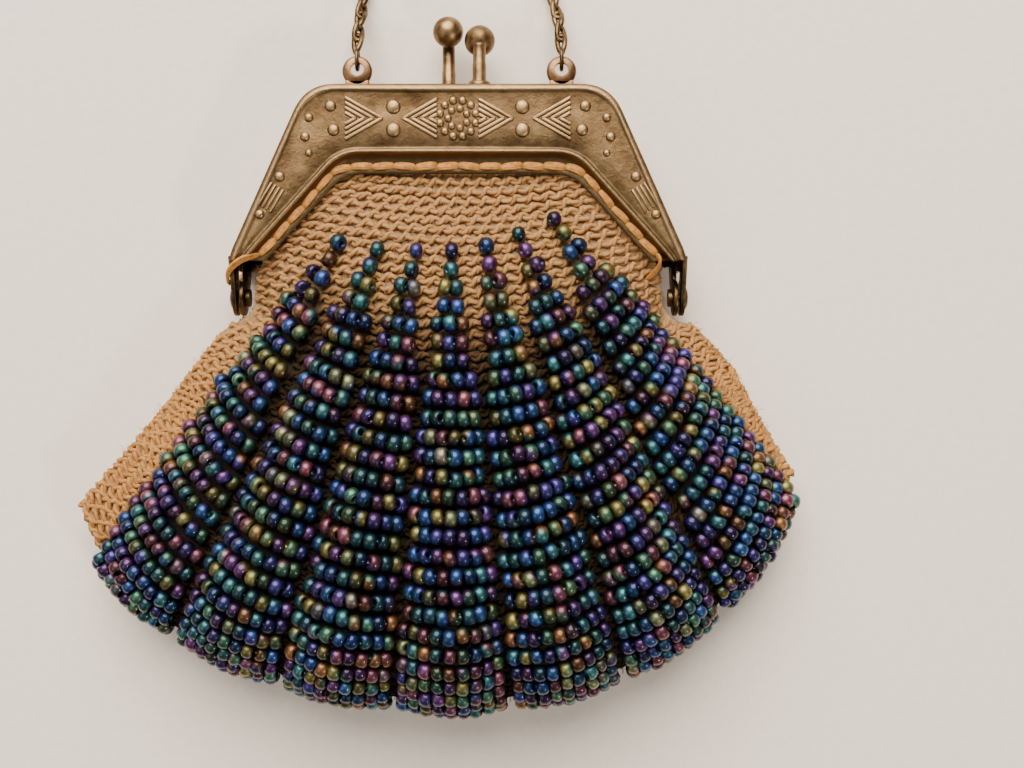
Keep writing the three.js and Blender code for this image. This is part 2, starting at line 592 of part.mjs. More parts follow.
// A closed solid between a front and a back sheet over the same lines and rows.
function pillow(lineCount, rowCount, pointAt) {
  const positions = [];
  const faces = [];
  const index = (wall, line, row) => (wall * lineCount + line) * rowCount + row;
  const quad = (a, b, c, d) => faces.push(a, b, c, a, c, d);
  for (const wall of ["front", "back"])
    for (let line = 0; line < lineCount; line++)
      for (let row = 0; row < rowCount; row++) {
        const { x, y, z } = pointAt(wall, line, row);
        positions.push(x, y, z);
      }
  for (let line = 0; line + 1 < lineCount; line++)
    for (let row = 0; row + 1 < rowCount; row++) {
      const corners = (wall) => [
        index(wall, line, row),
        index(wall, line, row + 1),
        index(wall, line + 1, row + 1),
        index(wall, line + 1, row),
      ];
      quad(...corners(0));
      quad(...corners(1).reverse());
    }
  const rim = [];
  for (let row = 0; row + 1 < rowCount; row++) rim.push([0, row]);
  for (let line = 0; line + 1 < lineCount; line++) rim.push([line, rowCount - 1]);
  for (let row = rowCount - 1; row > 0; row--) rim.push([lineCount - 1, row]);
  for (let line = lineCount - 1; line > 0; line--) rim.push([line, 0]);
  rim.forEach(([line, row], i) => {
    const [nextLine, nextRow] = rim[(i + 1) % rim.length];
    quad(index(1, line, row), index(1, nextLine, nextRow), index(0, nextLine, nextRow), index(0, line, row));
  });
  const geometry = new THREE.BufferGeometry();
  geometry.setAttribute("position", new THREE.Float32BufferAttribute(positions, 3));
  return solid(geometry.setIndex(faces));
}

function bagCavity() {
  const pointAt = (wall, line, row) => {
    const across = CAVITY_ACROSS[line];
    let angle = across * BAG_SECTIONS[0].halfAngle;
    let radius = 0;
    for (let i = 0; i < 4; i++) {
      const deepest = foldRadius(angle) - CAVITY_SEAM;
      radius = THREE.MathUtils.lerp(mouthRadius(angle), deepest, CAVITY_ROW_SHARES[row]);
      const seam = THREE.MathUtils.radToDeg(CAVITY_SEAM / Math.max(radius, 1));
      const open = THREE.MathUtils.smoothstep(radius, 33, 42);
      const reach = THREE.MathUtils.lerp(CAVITY_MOUTH_OPEN, -seam, open);
      angle = across * (seamAngle(radius, across) + reach);
    }
    const toFold = foldRadius(angle) - radius;
    const height = knitHeight(wall, radius, angle, toFold);
    return { ...fanPoint(radius, angle), z: height + (wall === "front" ? -KNIT_WALL : KNIT_WALL) };
  };
  return pillow(CAVITY_ACROSS.length, CAVITY_ROW_SHARES.length, pointAt);
}

function knitBag() {
  const lines = bagLines();
  const outside = pillow(lines.length, ROW_SHARES.length, (wall, line, row) =>
    bagPoint(wall, lines[line], ROW_SHARES[row]),
  );
  return outside.subtract(bagCavity());
}

// The purse, put together about the hinge axis and then set on the table.
const frame = new THREE.Group();
frame.position.z = PARTING_Z;

const frontHalf = frameHalf({ tabsSetIn: 0, claspX: CLASP_X.front, ears: false });
const backHalf = frameHalf({ tabsSetIn: INNER_TAB_SET_IN, claspX: CLASP_X.back, ears: true });
frame.add(named("frame_front", frontHalf, "gilt"));
const frameBack = named("frame_back", backHalf, "gilt");
frameBack.scale.z = -1;
frame.add(frameBack);

const claspFront = named("clasp_front", claspPost("front"), "gilt");
claspFront.position.set(CLASP_X.front, 0, POST.z);
const claspBack = named("clasp_back", claspPost("back"), "gilt");
claspBack.position.set(CLASP_X.back, 0, -POST.z);
claspBack.scale.z = -1;
frame.add(claspFront, claspBack);

for (const [word, side] of [["left", -1], ["right", 1]]) {
  frame.add(named(`hinge_rivet_${word}`, hingeRivet(side), "gilt_dark"));
  frame.add(named(`chain_end_link_${word}`, endLink(side), "gilt_dark"));
}

const purse = new THREE.Group();
purse.position.y = HINGE_ABOVE_ORIGIN;
purse.add(frame, named("knit_bag", knitBag(), "knit"), named("chain", chainCord(), "gilt_dark"));

const part = new THREE.Group();
part.add(purse);
export default part;
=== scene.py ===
"""Dresses a beaded frame purse: knitting, beads, embossed brass, thread, clasp, chain and stage."""

import functools
import math
import random

import bmesh
import bpy
import numpy as np
from mathutils import Matrix, Vector


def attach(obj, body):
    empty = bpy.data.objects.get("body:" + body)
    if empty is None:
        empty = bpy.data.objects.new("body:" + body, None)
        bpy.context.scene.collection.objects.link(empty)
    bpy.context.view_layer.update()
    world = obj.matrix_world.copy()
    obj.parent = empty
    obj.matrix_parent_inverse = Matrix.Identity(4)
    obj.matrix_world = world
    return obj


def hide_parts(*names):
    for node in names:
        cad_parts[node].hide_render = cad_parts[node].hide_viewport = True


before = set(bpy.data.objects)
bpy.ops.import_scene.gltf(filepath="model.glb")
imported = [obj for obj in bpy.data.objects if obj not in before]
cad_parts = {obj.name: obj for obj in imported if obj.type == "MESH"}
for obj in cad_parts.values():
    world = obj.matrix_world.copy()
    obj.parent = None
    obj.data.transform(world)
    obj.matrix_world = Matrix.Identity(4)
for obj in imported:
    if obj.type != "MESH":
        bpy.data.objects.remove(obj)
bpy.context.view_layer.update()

bl_info = {
    "name": "Beaded frame purse",
    "version": (1, 0, 0),
    "blender": (4, 5, 0),
    "location": "3D View > Sidebar > Purse",
    "description": "Knitting, seed beads, embossed brass, thread and chain for a small frame purse",
    "category": "Object",
}

MM = 0.001
HALVES = ("front", "back")
# The front faces up and is walked down to the fold, the back faces down and is walked up from it.
WALL_SIGN = {"front": 1, "back": -1}

# Sizes are in millimetres and degrees, from the middle of the hinge axis.
HINGE_Y = 27.0
PARTING_Z = 5.4
PARTING_GAP = 0.3
FACE_Z = 4.95
FLANGE_Z = 4.05
SHEET = 0.55
FACE_END_Y = 4.6
FRAME_TOP_Y = 27.7
HALF_WIDTH = 30.0

# Frame outlines, right half, from the hinge end up to the top corner: x, y and the corner's rounding.
OUTER_EDGE = [(HALF_WIDTH, 2.9, 0.0), (HALF_WIDTH, 5.0, 8.0), (19.9, FRAME_TOP_Y, 6.0)]
BORDER_EDGE = [(29.2, 3.0, 0.0), (15.3, 18.55, 6.0)]
FLANGE_EDGE = [(26.7, 3.0, 0.0), (15.0, 16.0, 6.0)]
SEW_LINE = [(28.0, 3.0, 0.0), (15.7, 17.0, 5.0)]
CORNER_STEPS = 12
FINE_STEPS = 4000
PATH_STEPS = 640

# The stamped sheet from the parting edge to the flange's inner edge. A row is how far in it is from the line
# of its zone, in the field as a share of the way across, and its height above the parting plane.
SHEET_ZONES = {
    "rim": [
        (0.0, PARTING_GAP / 2), (0.0, 1.6), (0.0, 3.2), (0.0, 4.5), (0.05, 4.78), (0.18, 4.96), (0.4, 5.05),
        (0.6, 5.14), (0.8, 5.18), (0.98, 5.1), (1.12, 4.94), (1.32, 4.88),
    ],
    "field": [(0.35, 4.98), (0.65, 4.98)],
    "border": [
        (1.1, 4.9), (0.92, 4.84), (0.76, 4.86), (0.6, 5.0), (0.44, 5.12), (0.26, 5.15), (0.1, 5.08),
        (0.0, 4.95), (-0.1, 4.75), (-0.26, 4.42), (-0.5, 4.18), (-0.75, FLANGE_Z),
    ],
    "flange": [(0.5, FLANGE_Z), (0.16, FLANGE_Z), (0.04, FLANGE_Z - 0.06), (0.0, FLANGE_Z - 0.2)],
}
SHEET_LINES = [(zone, *row) for zone, rows in SHEET_ZONES.items() for row in rows]
# The field between the rim and the border: where it starts and ends, and its least width.
FIELD = {"start": 1.32, "end": 1.1, "clear": 0.1}
# How far the border is darkened towards dark worn brass.
BORDER_SUNK = 0.42

# Embossed ornament, right half; every row is mirrored to the left.
MOTIF_Y = 23.1
DOT = {"rise": 0.45, "flatness": 0.8}
# Rings of the rosette: number of dots, radius of the ring and size of a dot.
ROSETTE_RINGS = [(12, 2.4, 0.56), (7, 1.28, 0.52)]
# Single dots: x, y and size.
EMBOSSED_DOTS = [
    (8.4, MOTIF_Y + 1.5, 0.98), (8.4, MOTIF_Y - 1.5, 0.98), (16.6, 24.7, 0.75), (16.2, 21.6, 0.8),
    (19.4, 23.2, 0.6), (19.9, 20.7, 0.65), (19.4, 18.6, 0.5), (23.2, 15.5, 0.7), (25.8, 10.6, 0.65),
]
# Fans of nested chevrons: the outermost one's tip, the way that it opens, and its run.
CHEVRON_FANS = [(7.1, -1, 4.3), (9.9, 1, 4.7)]
CHEVRON = {"nested": 4, "step": 1.15, "slope": 0.57}
CHEVRON_BAR = {"width": 0.44, "rise": 0.3}
LEG_LINES = {"shifts": (-0.9, -0.3, 0.3, 0.9), "ends": ((23.5, 14.2), (25.2, 11.4))}
LEG_BAR = {"width": 0.34, "rise": 0.26}
BAR_END = 0.6
BAR_ROUNDING = 0.48

# Hinge tabs and rivets, clasp and ears.
TAB = {"radius": 2.4, "top": 5.2, "thickness": 0.6, "set_in": 0.9, "under_face": 0.1, "rounding": 0.12}
TAB_STEPS = 18
TAB_BLOCK = {"inset": 0.3, "below_top": 0.8, "z": 2.1, "height": 1.6, "depth": 3.6}
RIVET = {"shank": 0.6, "outer_head": 1.5, "inner_head": 1.2, "head": 0.45, "head_start": 0.3, "clear": 0.15}
# The clasp's post from its peened tenon up: radius, and height above its seat on the frame.
POST_PROFILE = [
    (0, -1.5), (1.1, -1.5), (1.1, -1.05), (0.55, -1.05), (0.55, 0), (1.5, 0), (1.5, 0.35), (1.35, 0.55),
    (0.972, 0.6), (0.9, 0.9), (0.9, 2.9), (0.837, 3.0),
]
POST = {"seat": FRAME_TOP_Y + 0.15, "z": 2.3, "neck": 0.837, "tip": 0.9, "tip_rise": 0.7, "tip_start": 0.25}
BALL = {"radius": 2.05, "lean": 1.85, "over_tip": 0.25}
# Where each half's post stands, and how high its ball is.
CLASP_AT = {"front": (2.75, 34.3), "back": (-1.5, 35.7)}
EAR = {"x": 13.7, "y": 30.45, "radius": 2.0, "hole": 0.9, "hole_lift": 0.25, "thickness": 0.9}
EAR_EDGE = {"in": 0.25, "down": 0.22, "still": 0.3}
EAR_NECK = {"half_width": 1.6, "below_hole": 1.2, "into_wall": 0.3, "rounding": 0.15}

# Sewing thread: a backstitch is a few strands side by side.
STITCH = {"pitch": 2.75, "steps": 12, "past_end": 0.8, "tilt": 0.16, "thickness": (0.9, 1.1)}
STRAND = {"apart": 0.21, "gathered": 0.35, "hump": 0.4, "dip": 0.3, "rise": 0.62, "twist": 0.1, "crown": 0.12}
THREAD_END = {"points": 15, "spread": 0.24, "hump": 0.5}
LEFT_THREAD_END = [
    (-25.9, 5.5, FLANGE_Z - 0.3), (-26.9, 5.2, FLANGE_Z + 0.4), (-28.1, 4.7, FACE_Z + 0.15),
    (-29.3, 3.9, FACE_Z - 0.1), (-30.1, 3.0, FACE_Z - 0.8), (-30.35, 2.2, 3.1), (-30.35, 1.9, 2.2),
    (-30.1, 1.8, 1.6),
]
RIGHT_THREAD_END = [
    (25.9, 5.5, FLANGE_Z - 0.3), (26.3, 5.0, FLANGE_Z + 0.35), (26.4, 4.2, FLANGE_Z + 0.25), (26.0, 3.4, 3.6),
    (25.4, 2.8, 2.9), (24.9, 2.4, 2.2),
]
OFF_TABLE = 0.02

# Ridges of yarn: how far its stitches wander, where beads hide it, and how it is tucked under the frame.
RIDGE = {"steps": 8, "wander": (0.93, 1.07), "hidden": 0.5, "shortest": 4, "ripple": 0.1}
TUCK = {"depth": 0.3, "start": 1.2, "end": 4.0}
# Plies of the yarn, as shares of its diameter, and how far they turn from point to point.
PLY = {"radius": 0.3, "offset": 0.22, "turn": 0.75}
FUZZ = {"radius": 0.03, "share": 0.3, "length": (0.5, 1.2), "flat": 0.4, "out": 0.5, "bend": 0.2, "root": 0.3}
FUZZ_OFF_TABLE = 0.1
SEEDS = {"front": 5, "back": 6, "fuzz": 8, "thread": 21}
# The ground under the ridges, and how far the knitting is darkened with painted shade from the beads, between
# and beside the ribs.
GROUND = {"columns": 120, "rows": 90, "weld": 0.12, "crowding": 1.6, "sunk": 0.42, "drawn_from": 0.75}
EDGE_POWER = {"seam": 12, "corner": 16}
PAINTED_BEAD_SHADE = {"between": (-4.0, -1.4), "beside": (-1.6, 0.0), "start": 28.0, "full": 41.0}

# The chain's route from the left ear to the right ear, and its links.
CHAIN_ROUTE = [
    (-13.7, 34.1, 4.8), (-13.65, 35.0, 4.6), (-13.5, 37.4, 3.6), (-13.2, 41.0, 1.8), (-12.9, 45.5, 1.05),
    (-12.9, 52.0, 1.0), (-13.5, 61.0, 1.0), (-13.6, 71.0, 1.0), (-12.2, 80.5, 1.0), (-8.6, 88.0, 1.0),
    (-3.0, 92.2, 1.0), (3.2, 92.0, 1.0), (8.6, 87.4, 1.0), (11.6, 79.6, 1.0), (12.3, 70.0, 1.0),
    (11.8, 60.0, 1.0), (11.4, 51.5, 1.0), (11.9, 45.5, 1.05), (12.7, 41.0, 1.8), (13.4, 37.4, 3.6),
    (13.65, 35.0, 4.6), (13.7, 34.1, 4.8),
]
ROUTE_STEPS = 900
CURVE_STEPS = 24
LINK = {"sides": 7, "steps": 18, "flatness": 0.8, "twist": 0.22, "roll": 38}
END_LINK = {"wire": 0.55, "half_length": 1.325, "half_width": 1.05, "y": 32.03}

# Bag: a fan of knitting about an apex above the frame. Angles are from straight down.
FAN_APEX_Y = 30.0
FAN_LEAN = {"angle": -1.2, "start": 40.0, "end": 54.0}
MOUTH_TOP_Y = 17.8
MOUTH_RISE = {"start": 16.5, "over": 8.0}
# Beside the frame's legs the front lies flat from this share of the half angle outwards.
FLANGE_COVERS = {"share": 0.91, "start": 34.0, "end": 46.0}
SECTION_COLUMNS = ("radius", "half_angle", "right_wider", "front", "back", "edge_front", "edge_back")
BAG_SECTIONS = [
    (12, 47.5, 0.0, 8.6, 2.2, 8.45, 2.35),
    (18, 47.5, 0.0, 10.2, 2.15, 8.45, 2.35),
    (26, 47.5, 0.0, 12.6, 2.1, 8.3, 2.5),
    (34, 46.8, 0.0, 14.9, 2.1, 7.9, 2.9),
    (38, 44.4, 0.0, 16.0, 2.1, 7.0, 3.9),
    (40, 42.4, 0.0, 16.5, 2.1, 6.3, 4.7),
    (42, 40.7, 0.0, 16.9, 2.1, 5.7, 5.4),
    (44.0, 41.2, 0.3, 17.3, 2.1, 5.65, 5.5),
    (46.0, 41.9, 1.4, 17.7, 2.1, 5.6, 5.6),
    (53, 40.8, 3.3, 18.5, 2.1, 5.7, 5.7),
    (60, 40.2, 2.2, 19.2, 2.1, 5.8, 5.8),
    (74, 40.0, 0.6, 18.8, 2.1, 6.6, 6.6),
    (86, 40.0, 0.6, 18.2, 2.1, 7.4, 7.4),
]
DOME_POWER = {"front": 2.2, "back": 5.0}
BOTTOM_RADIUS = 82.6
BOTTOM_CORNERS = {"left": (6.3, 5.0), "right": (13.0, 2.6)}
FOLD_Z = 7.4
FOLD_ROLL = {"front": 12.0, "back": 8.0}
FOLD_FILL = 0.5
CORNER_DRAWN_IN = 0.025

# Rays of the fan are measured at even turns, with more points towards the fold.
PROFILE_STEPS = 110
PROFILE_TURN = 0.25
PROFILE_CROWDING = 1.7
# How far to each side the directions of the surface are measured.
FRAME_REACH = {"angle": 1.0, "walked": 0.3}
RIDGE_BEND = (0.3, 0.9)
SEAM_SEARCH = {"angle": 40.0, "rounds": 6}
GROUND_SEARCH = {"angle": 44.0, "rounds": 5}

# Ribs of beads.
RIB_COUNT = 7
RIB_PITCH = 10.4
RIB_MIDDLE = 0.7
LAST_RIB = {"wider": 2.6, "full_row": 8}
RIB_TOP_RADII = (27.6, 26.2, 25.3, 25.0, 24.5, 24.1, 24.4)
RIB_TOP_SWING = {"angle": -2.2, "end": 62.0}
RIB_GROOVE = {"depth": 1.5, "start": 28.0, "full": 54.0}
RIB_BULGE = {"rib": 0.95, "fold": 0.35, "fades_from": 0.86}
RIB_GAP = 1.1
# From so many rows above the first one a point counts as far outside the beads.
ABOVE_RIB = {"rows": -0.5, "depth": -10.0}
ROW_STEPS = 120
BEADS_IN_ROW = (1, 1, 2, 2, 3, 3, 3, 4, 4, 4, 5, 5, 5, 6, 6, 6, 6, 7, 7, 7, 8, 8, 8, 8, 9)
# A bead's section from its hole to its rim: shares of its radius and of half its width.
BEAD_PROFILE = [(0.32, -0.8), (0.64, -1.0), (0.91, -0.64), (1.0, 0.0)]
BEAD_SEGMENTS = 11
BEAD_STRING = {"steps": 25, "longest": 1.1, "taut": 6, "lift": 0.98, "sag": 0.15, "reach": 0.5}
BEAD_SCATTER = {
    "along": 0.05, "size": (0.92, 1.05), "out": (-0.05, 0.2), "down": 0.09, "nod": 0.2, "sway": 0.22,
}

# Iris finishes of the beads: the two hues that each bead shades between, as display colours, and weights.
IRIS_HUES = [
    ((0.36, 0.66, 0.66), (0.26, 0.38, 0.68)), ((0.30, 0.46, 0.78), (0.36, 0.64, 0.68)),
    ((0.40, 0.34, 0.70), (0.28, 0.48, 0.74)), ((0.60, 0.36, 0.66), (0.36, 0.30, 0.58)),
    ((0.76, 0.44, 0.52), (0.52, 0.34, 0.62)), ((0.84, 0.58, 0.36), (0.66, 0.38, 0.46)),
    ((0.78, 0.72, 0.40), (0.44, 0.62, 0.46)), ((0.44, 0.68, 0.54), (0.28, 0.50, 0.60)),
    ((0.70, 0.74, 0.52), (0.64, 0.48, 0.56)), ((0.72, 0.68, 0.60), (0.50, 0.50, 0.54)),
]
IRIS_WEIGHTS = (14, 13, 12, 11, 9, 8, 10, 11, 5, 1.5)
IRIS = {"mixed": 0.35, "mixed_hues": 8, "value": (0.37, 0.69), "change": 0.5, "gamma": 2.2}
IRIS_STAIN = {"colour": (0.012, 0.012, 0.018), "even": 0.72}

# Grains of the finishes: scale, detail and roughness of a noise, and the range of it that counts.
GRAINS = {
    "blotch": (260.0, 5.0, 0.62, 0.36, 0.66),
    "scuff": (900.0, 3.0, 0.55, 0.3, 0.7),
    "tarnish": (420.0, 5.0, 0.6, 0.36, 0.66),
    "wear": (1300.0, 3.0, 0.55, 0.3, 0.7),
    "fleck": (1500.0, 4.0, 0.65, 0.3, 0.68),
    "streak": (1800.0, 3.0, 0.6, 0.3, 0.7),
    "stain": (700.0, 3.0, 0.6, 0.34, 0.66),
    "gloss": (1600.0, 3.0, 0.55, 0.3, 0.7),
    "weave": (900.0, 2.0, 0.55, 0.3, 0.7),
}
# Bumps of the finishes: scale, detail and roughness of a noise, and the bump's strength and distance.
BUMPS = {
    "embossed": (1300.0, 6.0, 0.7, 0.35, 0.00025),
    "brass": (3200.0, 4.0, 0.6, 0.16, 0.0001),
    "yarn": (5200.0, 4.0, 0.7, 0.6, 0.00018),
    "ground": (2600.0, 4.0, 0.7, 0.7, 0.0003),
    "floss": (5000.0, 3.0, 0.6, 0.4, 0.00012),
}
# Plain brasses: the bright colour and its share, the dark colour and its share, and the roughness.
BRASSES = {
    "clasp_brass": ("worn", 0.78, "patina", 1.2, 0.4),
    "chain_brass": ("worn", 0.5, "patina", 0.62, 0.38),
    "ear_brass": ("copper", 1.5, "copper", 0.7, 0.36),
}
PROUD = {"start": FACE_Z - 0.02, "full": FACE_Z + 0.27, "rubbed": 0.9, "blotched": 0.45}
# Painted shade on the sunk flange and its step, and the darkening of the border: the share of the worn brass
# that they are darkened to.
SUNK_SHADE = 0.25
# Where the ginger of the side strips starts and is full, in metres from the middle.
SIDE_STRIP = (0.026, 0.036)
# Painted shade under the beads: the shares of the tan that the yarn and the ground are darkened to.
PAINTED_SHADE_UNDER_BEADS = {"yarn": 0.055, "ground": 0.045}

# Stage, in metres. Lamps by name, place, size, power and tint; they shine on the purse's middle.
PURSE_MIDDLE = (0, 0.015, 0)
LAMPS = [
    ("window", (-0.06, 0.52, 0.5), 0.8, 15.5, (1.0, 0.96, 0.91)),
    ("fill", (-0.5, -0.2, 0.55), 0.5, 1.2, (1.0, 0.97, 0.94)),
    ("glint", (0.34, -0.34, 0.4), 0.06, 1.3, (1.0, 0.97, 0.93)),
]
ROOM = {"colour": (1.0, 0.97, 0.94, 1), "strength": 0.14}
FLOOR_SIZE = 4.0
NEAREST = 0.01


# Settings.
def length(name, description, millimetres):
    """A size property, shown in Blender's units."""
    return bpy.props.FloatProperty(
        name=name, description=description, default=millimetres * MM, unit="LENGTH", precision=5
    )


def colour(name, description, red, green, blue):
    """A colour property in linear light."""
    return bpy.props.FloatVectorProperty(
        name=name, description=description, default=(red, green, blue), subtype="COLOR", size=3, min=0, max=1
    )


class PurseKnit(bpy.types.PropertyGroup):
    """Knitting of the bag."""

    row_pitch: length("Row pitch", "Distance from one ridge of knitting to the next", 1.43)
    stitch: length("Stitch", "Length of one wave of the yarn along a ridge", 1.92)
    yarn: length("Yarn", "Diameter of the two-ply yarn", 1.08)
    wave: length("Wave", "How far the yarn swings to each side of its ridge", 0.31)
    wall: length("Wall", "Thickness of the knitted ground", 0.8)
    tan: colour("Tan", "Yarn of the yoke", 0.50, 0.262, 0.096)
    ginger: colour("Ginger", "Yarn of the side strips", 0.55, 0.262, 0.08)
    hollow: colour("Hollow", "Knitting between the ridges", 0.4, 0.25, 0.12)


class PurseBeads(bpy.types.PropertyGroup):
    """Seed beads."""

    diameter: length("Diameter", "Outside diameter of a bead", 2.25)
    width: length("Width", "Length of a bead along its thread", 1.58)
    spacing: length("Spacing", "Distance from one bead to the next along its thread", 1.56)
    row_pitch: length("Row pitch", "Distance from one row of beads to the next", 2.53)
    seed: bpy.props.IntProperty(name="Seed", description="Start of the scatter of beads and hues", default=11)


class PurseBrass(bpy.types.PropertyGroup):
    """Brass of the frame, clasp and chain."""

    worn: colour("Worn", "Rubbed brass on what stands proud", 0.42, 0.265, 0.122)
    patina: colour("Patina", "Brown brass in the hollows", 0.088, 0.048, 0.02)
    copper: colour("Copper", "Reddish brass of the ears", 0.21, 0.115, 0.055)


class PurseThread(bpy.types.PropertyGroup):
    """Sewing thread in the flange."""

    floss: length("Floss", "Diameter of one strand of the floss", 0.46)
    strands: bpy.props.IntProperty(name="Strands", description="Strands side by side in a stitch", default=4)
    amber: colour("Amber", "Thread", 0.48, 0.195, 0.028)


class PurseChain(bpy.types.PropertyGroup):
    """Links of the chain."""

    pitch: length("Pitch", "Distance from one link to the next", 1.9)
    wire: length("Wire", "Diameter of the links' wire", 0.76)
    width: length("Width", "Width of a link over its wire", 1.92)


class PurseStage(bpy.types.PropertyGroup):
    """Floor, light and camera."""

    cloth: colour("Floor", "Pale floor", 0.93, 0.8, 0.665)
    eye_height: length("Eye height", "Camera above the table", 190.0)
    eye_x: length("Eye across", "Camera to the right of the origin", 7.06)
    eye_y: length("Eye along", "Camera towards the clasp from the origin", 15.5)
    lens: bpy.props.FloatProperty(name="Lens", description="Focal length on a 36 mm sensor", default=48.5)


SETTINGS = {
    "purse_knit": PurseKnit,
    "purse_beads": PurseBeads,
    "purse_brass": PurseBrass,
    "purse_thread": PurseThread,
    "purse_chain": PurseChain,
    "purse_stage": PurseStage,
}


# Small tools.
def smoothstep(value, low, high):
    share = min(max((value - low) / (high - low), 0.0), 1.0)
    return share * share * (3 - 2 * share)


def mix(a, b, share):
    return a + (b - a) * share


def placed(x, y, z):
    """A point in millimetres from the hinge axis, as metres in the part's frame."""
    return Vector((x, y + HINGE_Y, z)) * MM


def to_part():
    """Millimetres from the hinge axis to metres in the part's frame."""
    return Matrix.Scale(MM, 4) @ Matrix.Translation((0, HINGE_Y, 0))


def run_lengths(points):
    """How far each point of a line is along it."""
    steps = np.diff(np.array([tuple(point) for point in points]), axis=0)
    return np.concatenate([[0], np.cumsum(np.linalg.norm(steps, axis=1))])


def heading(points, index):
    """Which way a line goes at one of its points."""
    return points[min(index + 1, len(points) - 1)] - points[max(index - 1, 0)]


def facing(x, y, z):
    """A turn to three directions."""
    return Matrix((x, y, z)).transposed().to_4x4()


def linked(name, data):
    """A new object in the scene."""
    item = bpy.data.objects.new(name, data)
    bpy.context.scene.collection.objects.link(item)
    return item


def new_piece(name, mesh, material, replaced=(), sharp=None):
    """A finished piece of the purse from its mesh."""
    piece = linked(name, mesh)
    mesh.materials.append(material)
    mesh.shade_smooth()
    if sharp is not None:
        mesh.set_sharp_from_angle(angle=math.radians(sharp))
    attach(piece, "root")
    if replaced:
        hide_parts(*replaced)
    return piece


def thicken(piece, thickness):
    wall = piece.modifiers.new("Wall", "SOLIDIFY")
    wall.thickness = thickness
    wall.offset = -1


def store(mesh, name, values):
    """Keeps a number with each point of a mesh."""
    mesh.attributes.new(name, "FLOAT", "POINT").data.foreach_set("value", values)


def mesh_of(shape, name):
    mesh = bpy.data.meshes.new(name)
    shape.to_mesh(mesh)
    shape.free()
    return mesh


def tube_mesh(name, strands, radius, roundness=1):
    """Round strands along lists of points, as one mesh."""
    curve = bpy.data.curves.new(name, "CURVE")
    curve.dimensions = "3D"
    curve.bevel_depth = radius
    curve.bevel_resolution = roundness
    curve.use_fill_caps = True
    for points in strands:
        spline = curve.splines.new("POLY")
        spline.points.add(len(points) - 1)
        spline.points.foreach_set("co", [value for point in points for value in (*point, 1.0)])
    holder = linked(name, curve)
    bpy.context.view_layer.update()
    mesh = bpy.data.meshes.new_from_object(holder.evaluated_get(bpy.context.evaluated_depsgraph_get()))
    mesh.name = name
    bpy.data.objects.remove(holder)
    bpy.data.curves.remove(curve)
    return mesh


def spun(shape, steps):
    """Turns the edges of a bmesh once round the Z axis."""
    bmesh.ops.spin(
        shape, geom=[*shape.verts, *shape.edges], cent=(0, 0, 0), axis=(0, 0, 1), angle=2 * math.pi,
        steps=steps, use_merge=True,
    )
    bmesh.ops.remove_doubles(shape, verts=shape.verts, dist=1e-4)


def bevelled(shape, items, rounding, segments):
    bmesh.ops.bevel(
        shape, geom=items, offset=rounding, segments=segments, profile=0.5, affect="EDGES", material=-1
    )


def turned(shape, profile, matrix, segments):
    """Adds a lathe-turned form to a bmesh: profile rows are radius and height, in millimetres."""
    turning = bmesh.new()
    verts = [turning.verts.new((radius, 0, height)) for radius, height in profile]
    for a, b in zip(verts, verts[1:]):
        turning.edges.new((a, b))
    spun(turning, segments)
    bmesh.ops.recalc_face_normals(turning, faces=turning.faces)
    add_copy(shape, turning, matrix)
    turning.free()


def domed(radius, base, rise, first):
    """Profile rows of a rounded end."""
    return [(radius * math.cos(turn), base + rise * math.sin(turn)) for turn in np.linspace(first, 1.5, 6)]


def add_copy(shape, other, matrix):
    """Adds another bmesh, moved by a matrix, to a bmesh."""
    mesh = bpy.data.meshes.new("copy")
    other.to_mesh(mesh)
    mesh.transform(matrix)
    if matrix.determinant() < 0:
        mesh.flip_normals()
    shape.from_mesh(mesh)
    bpy.data.meshes.remove(mesh)


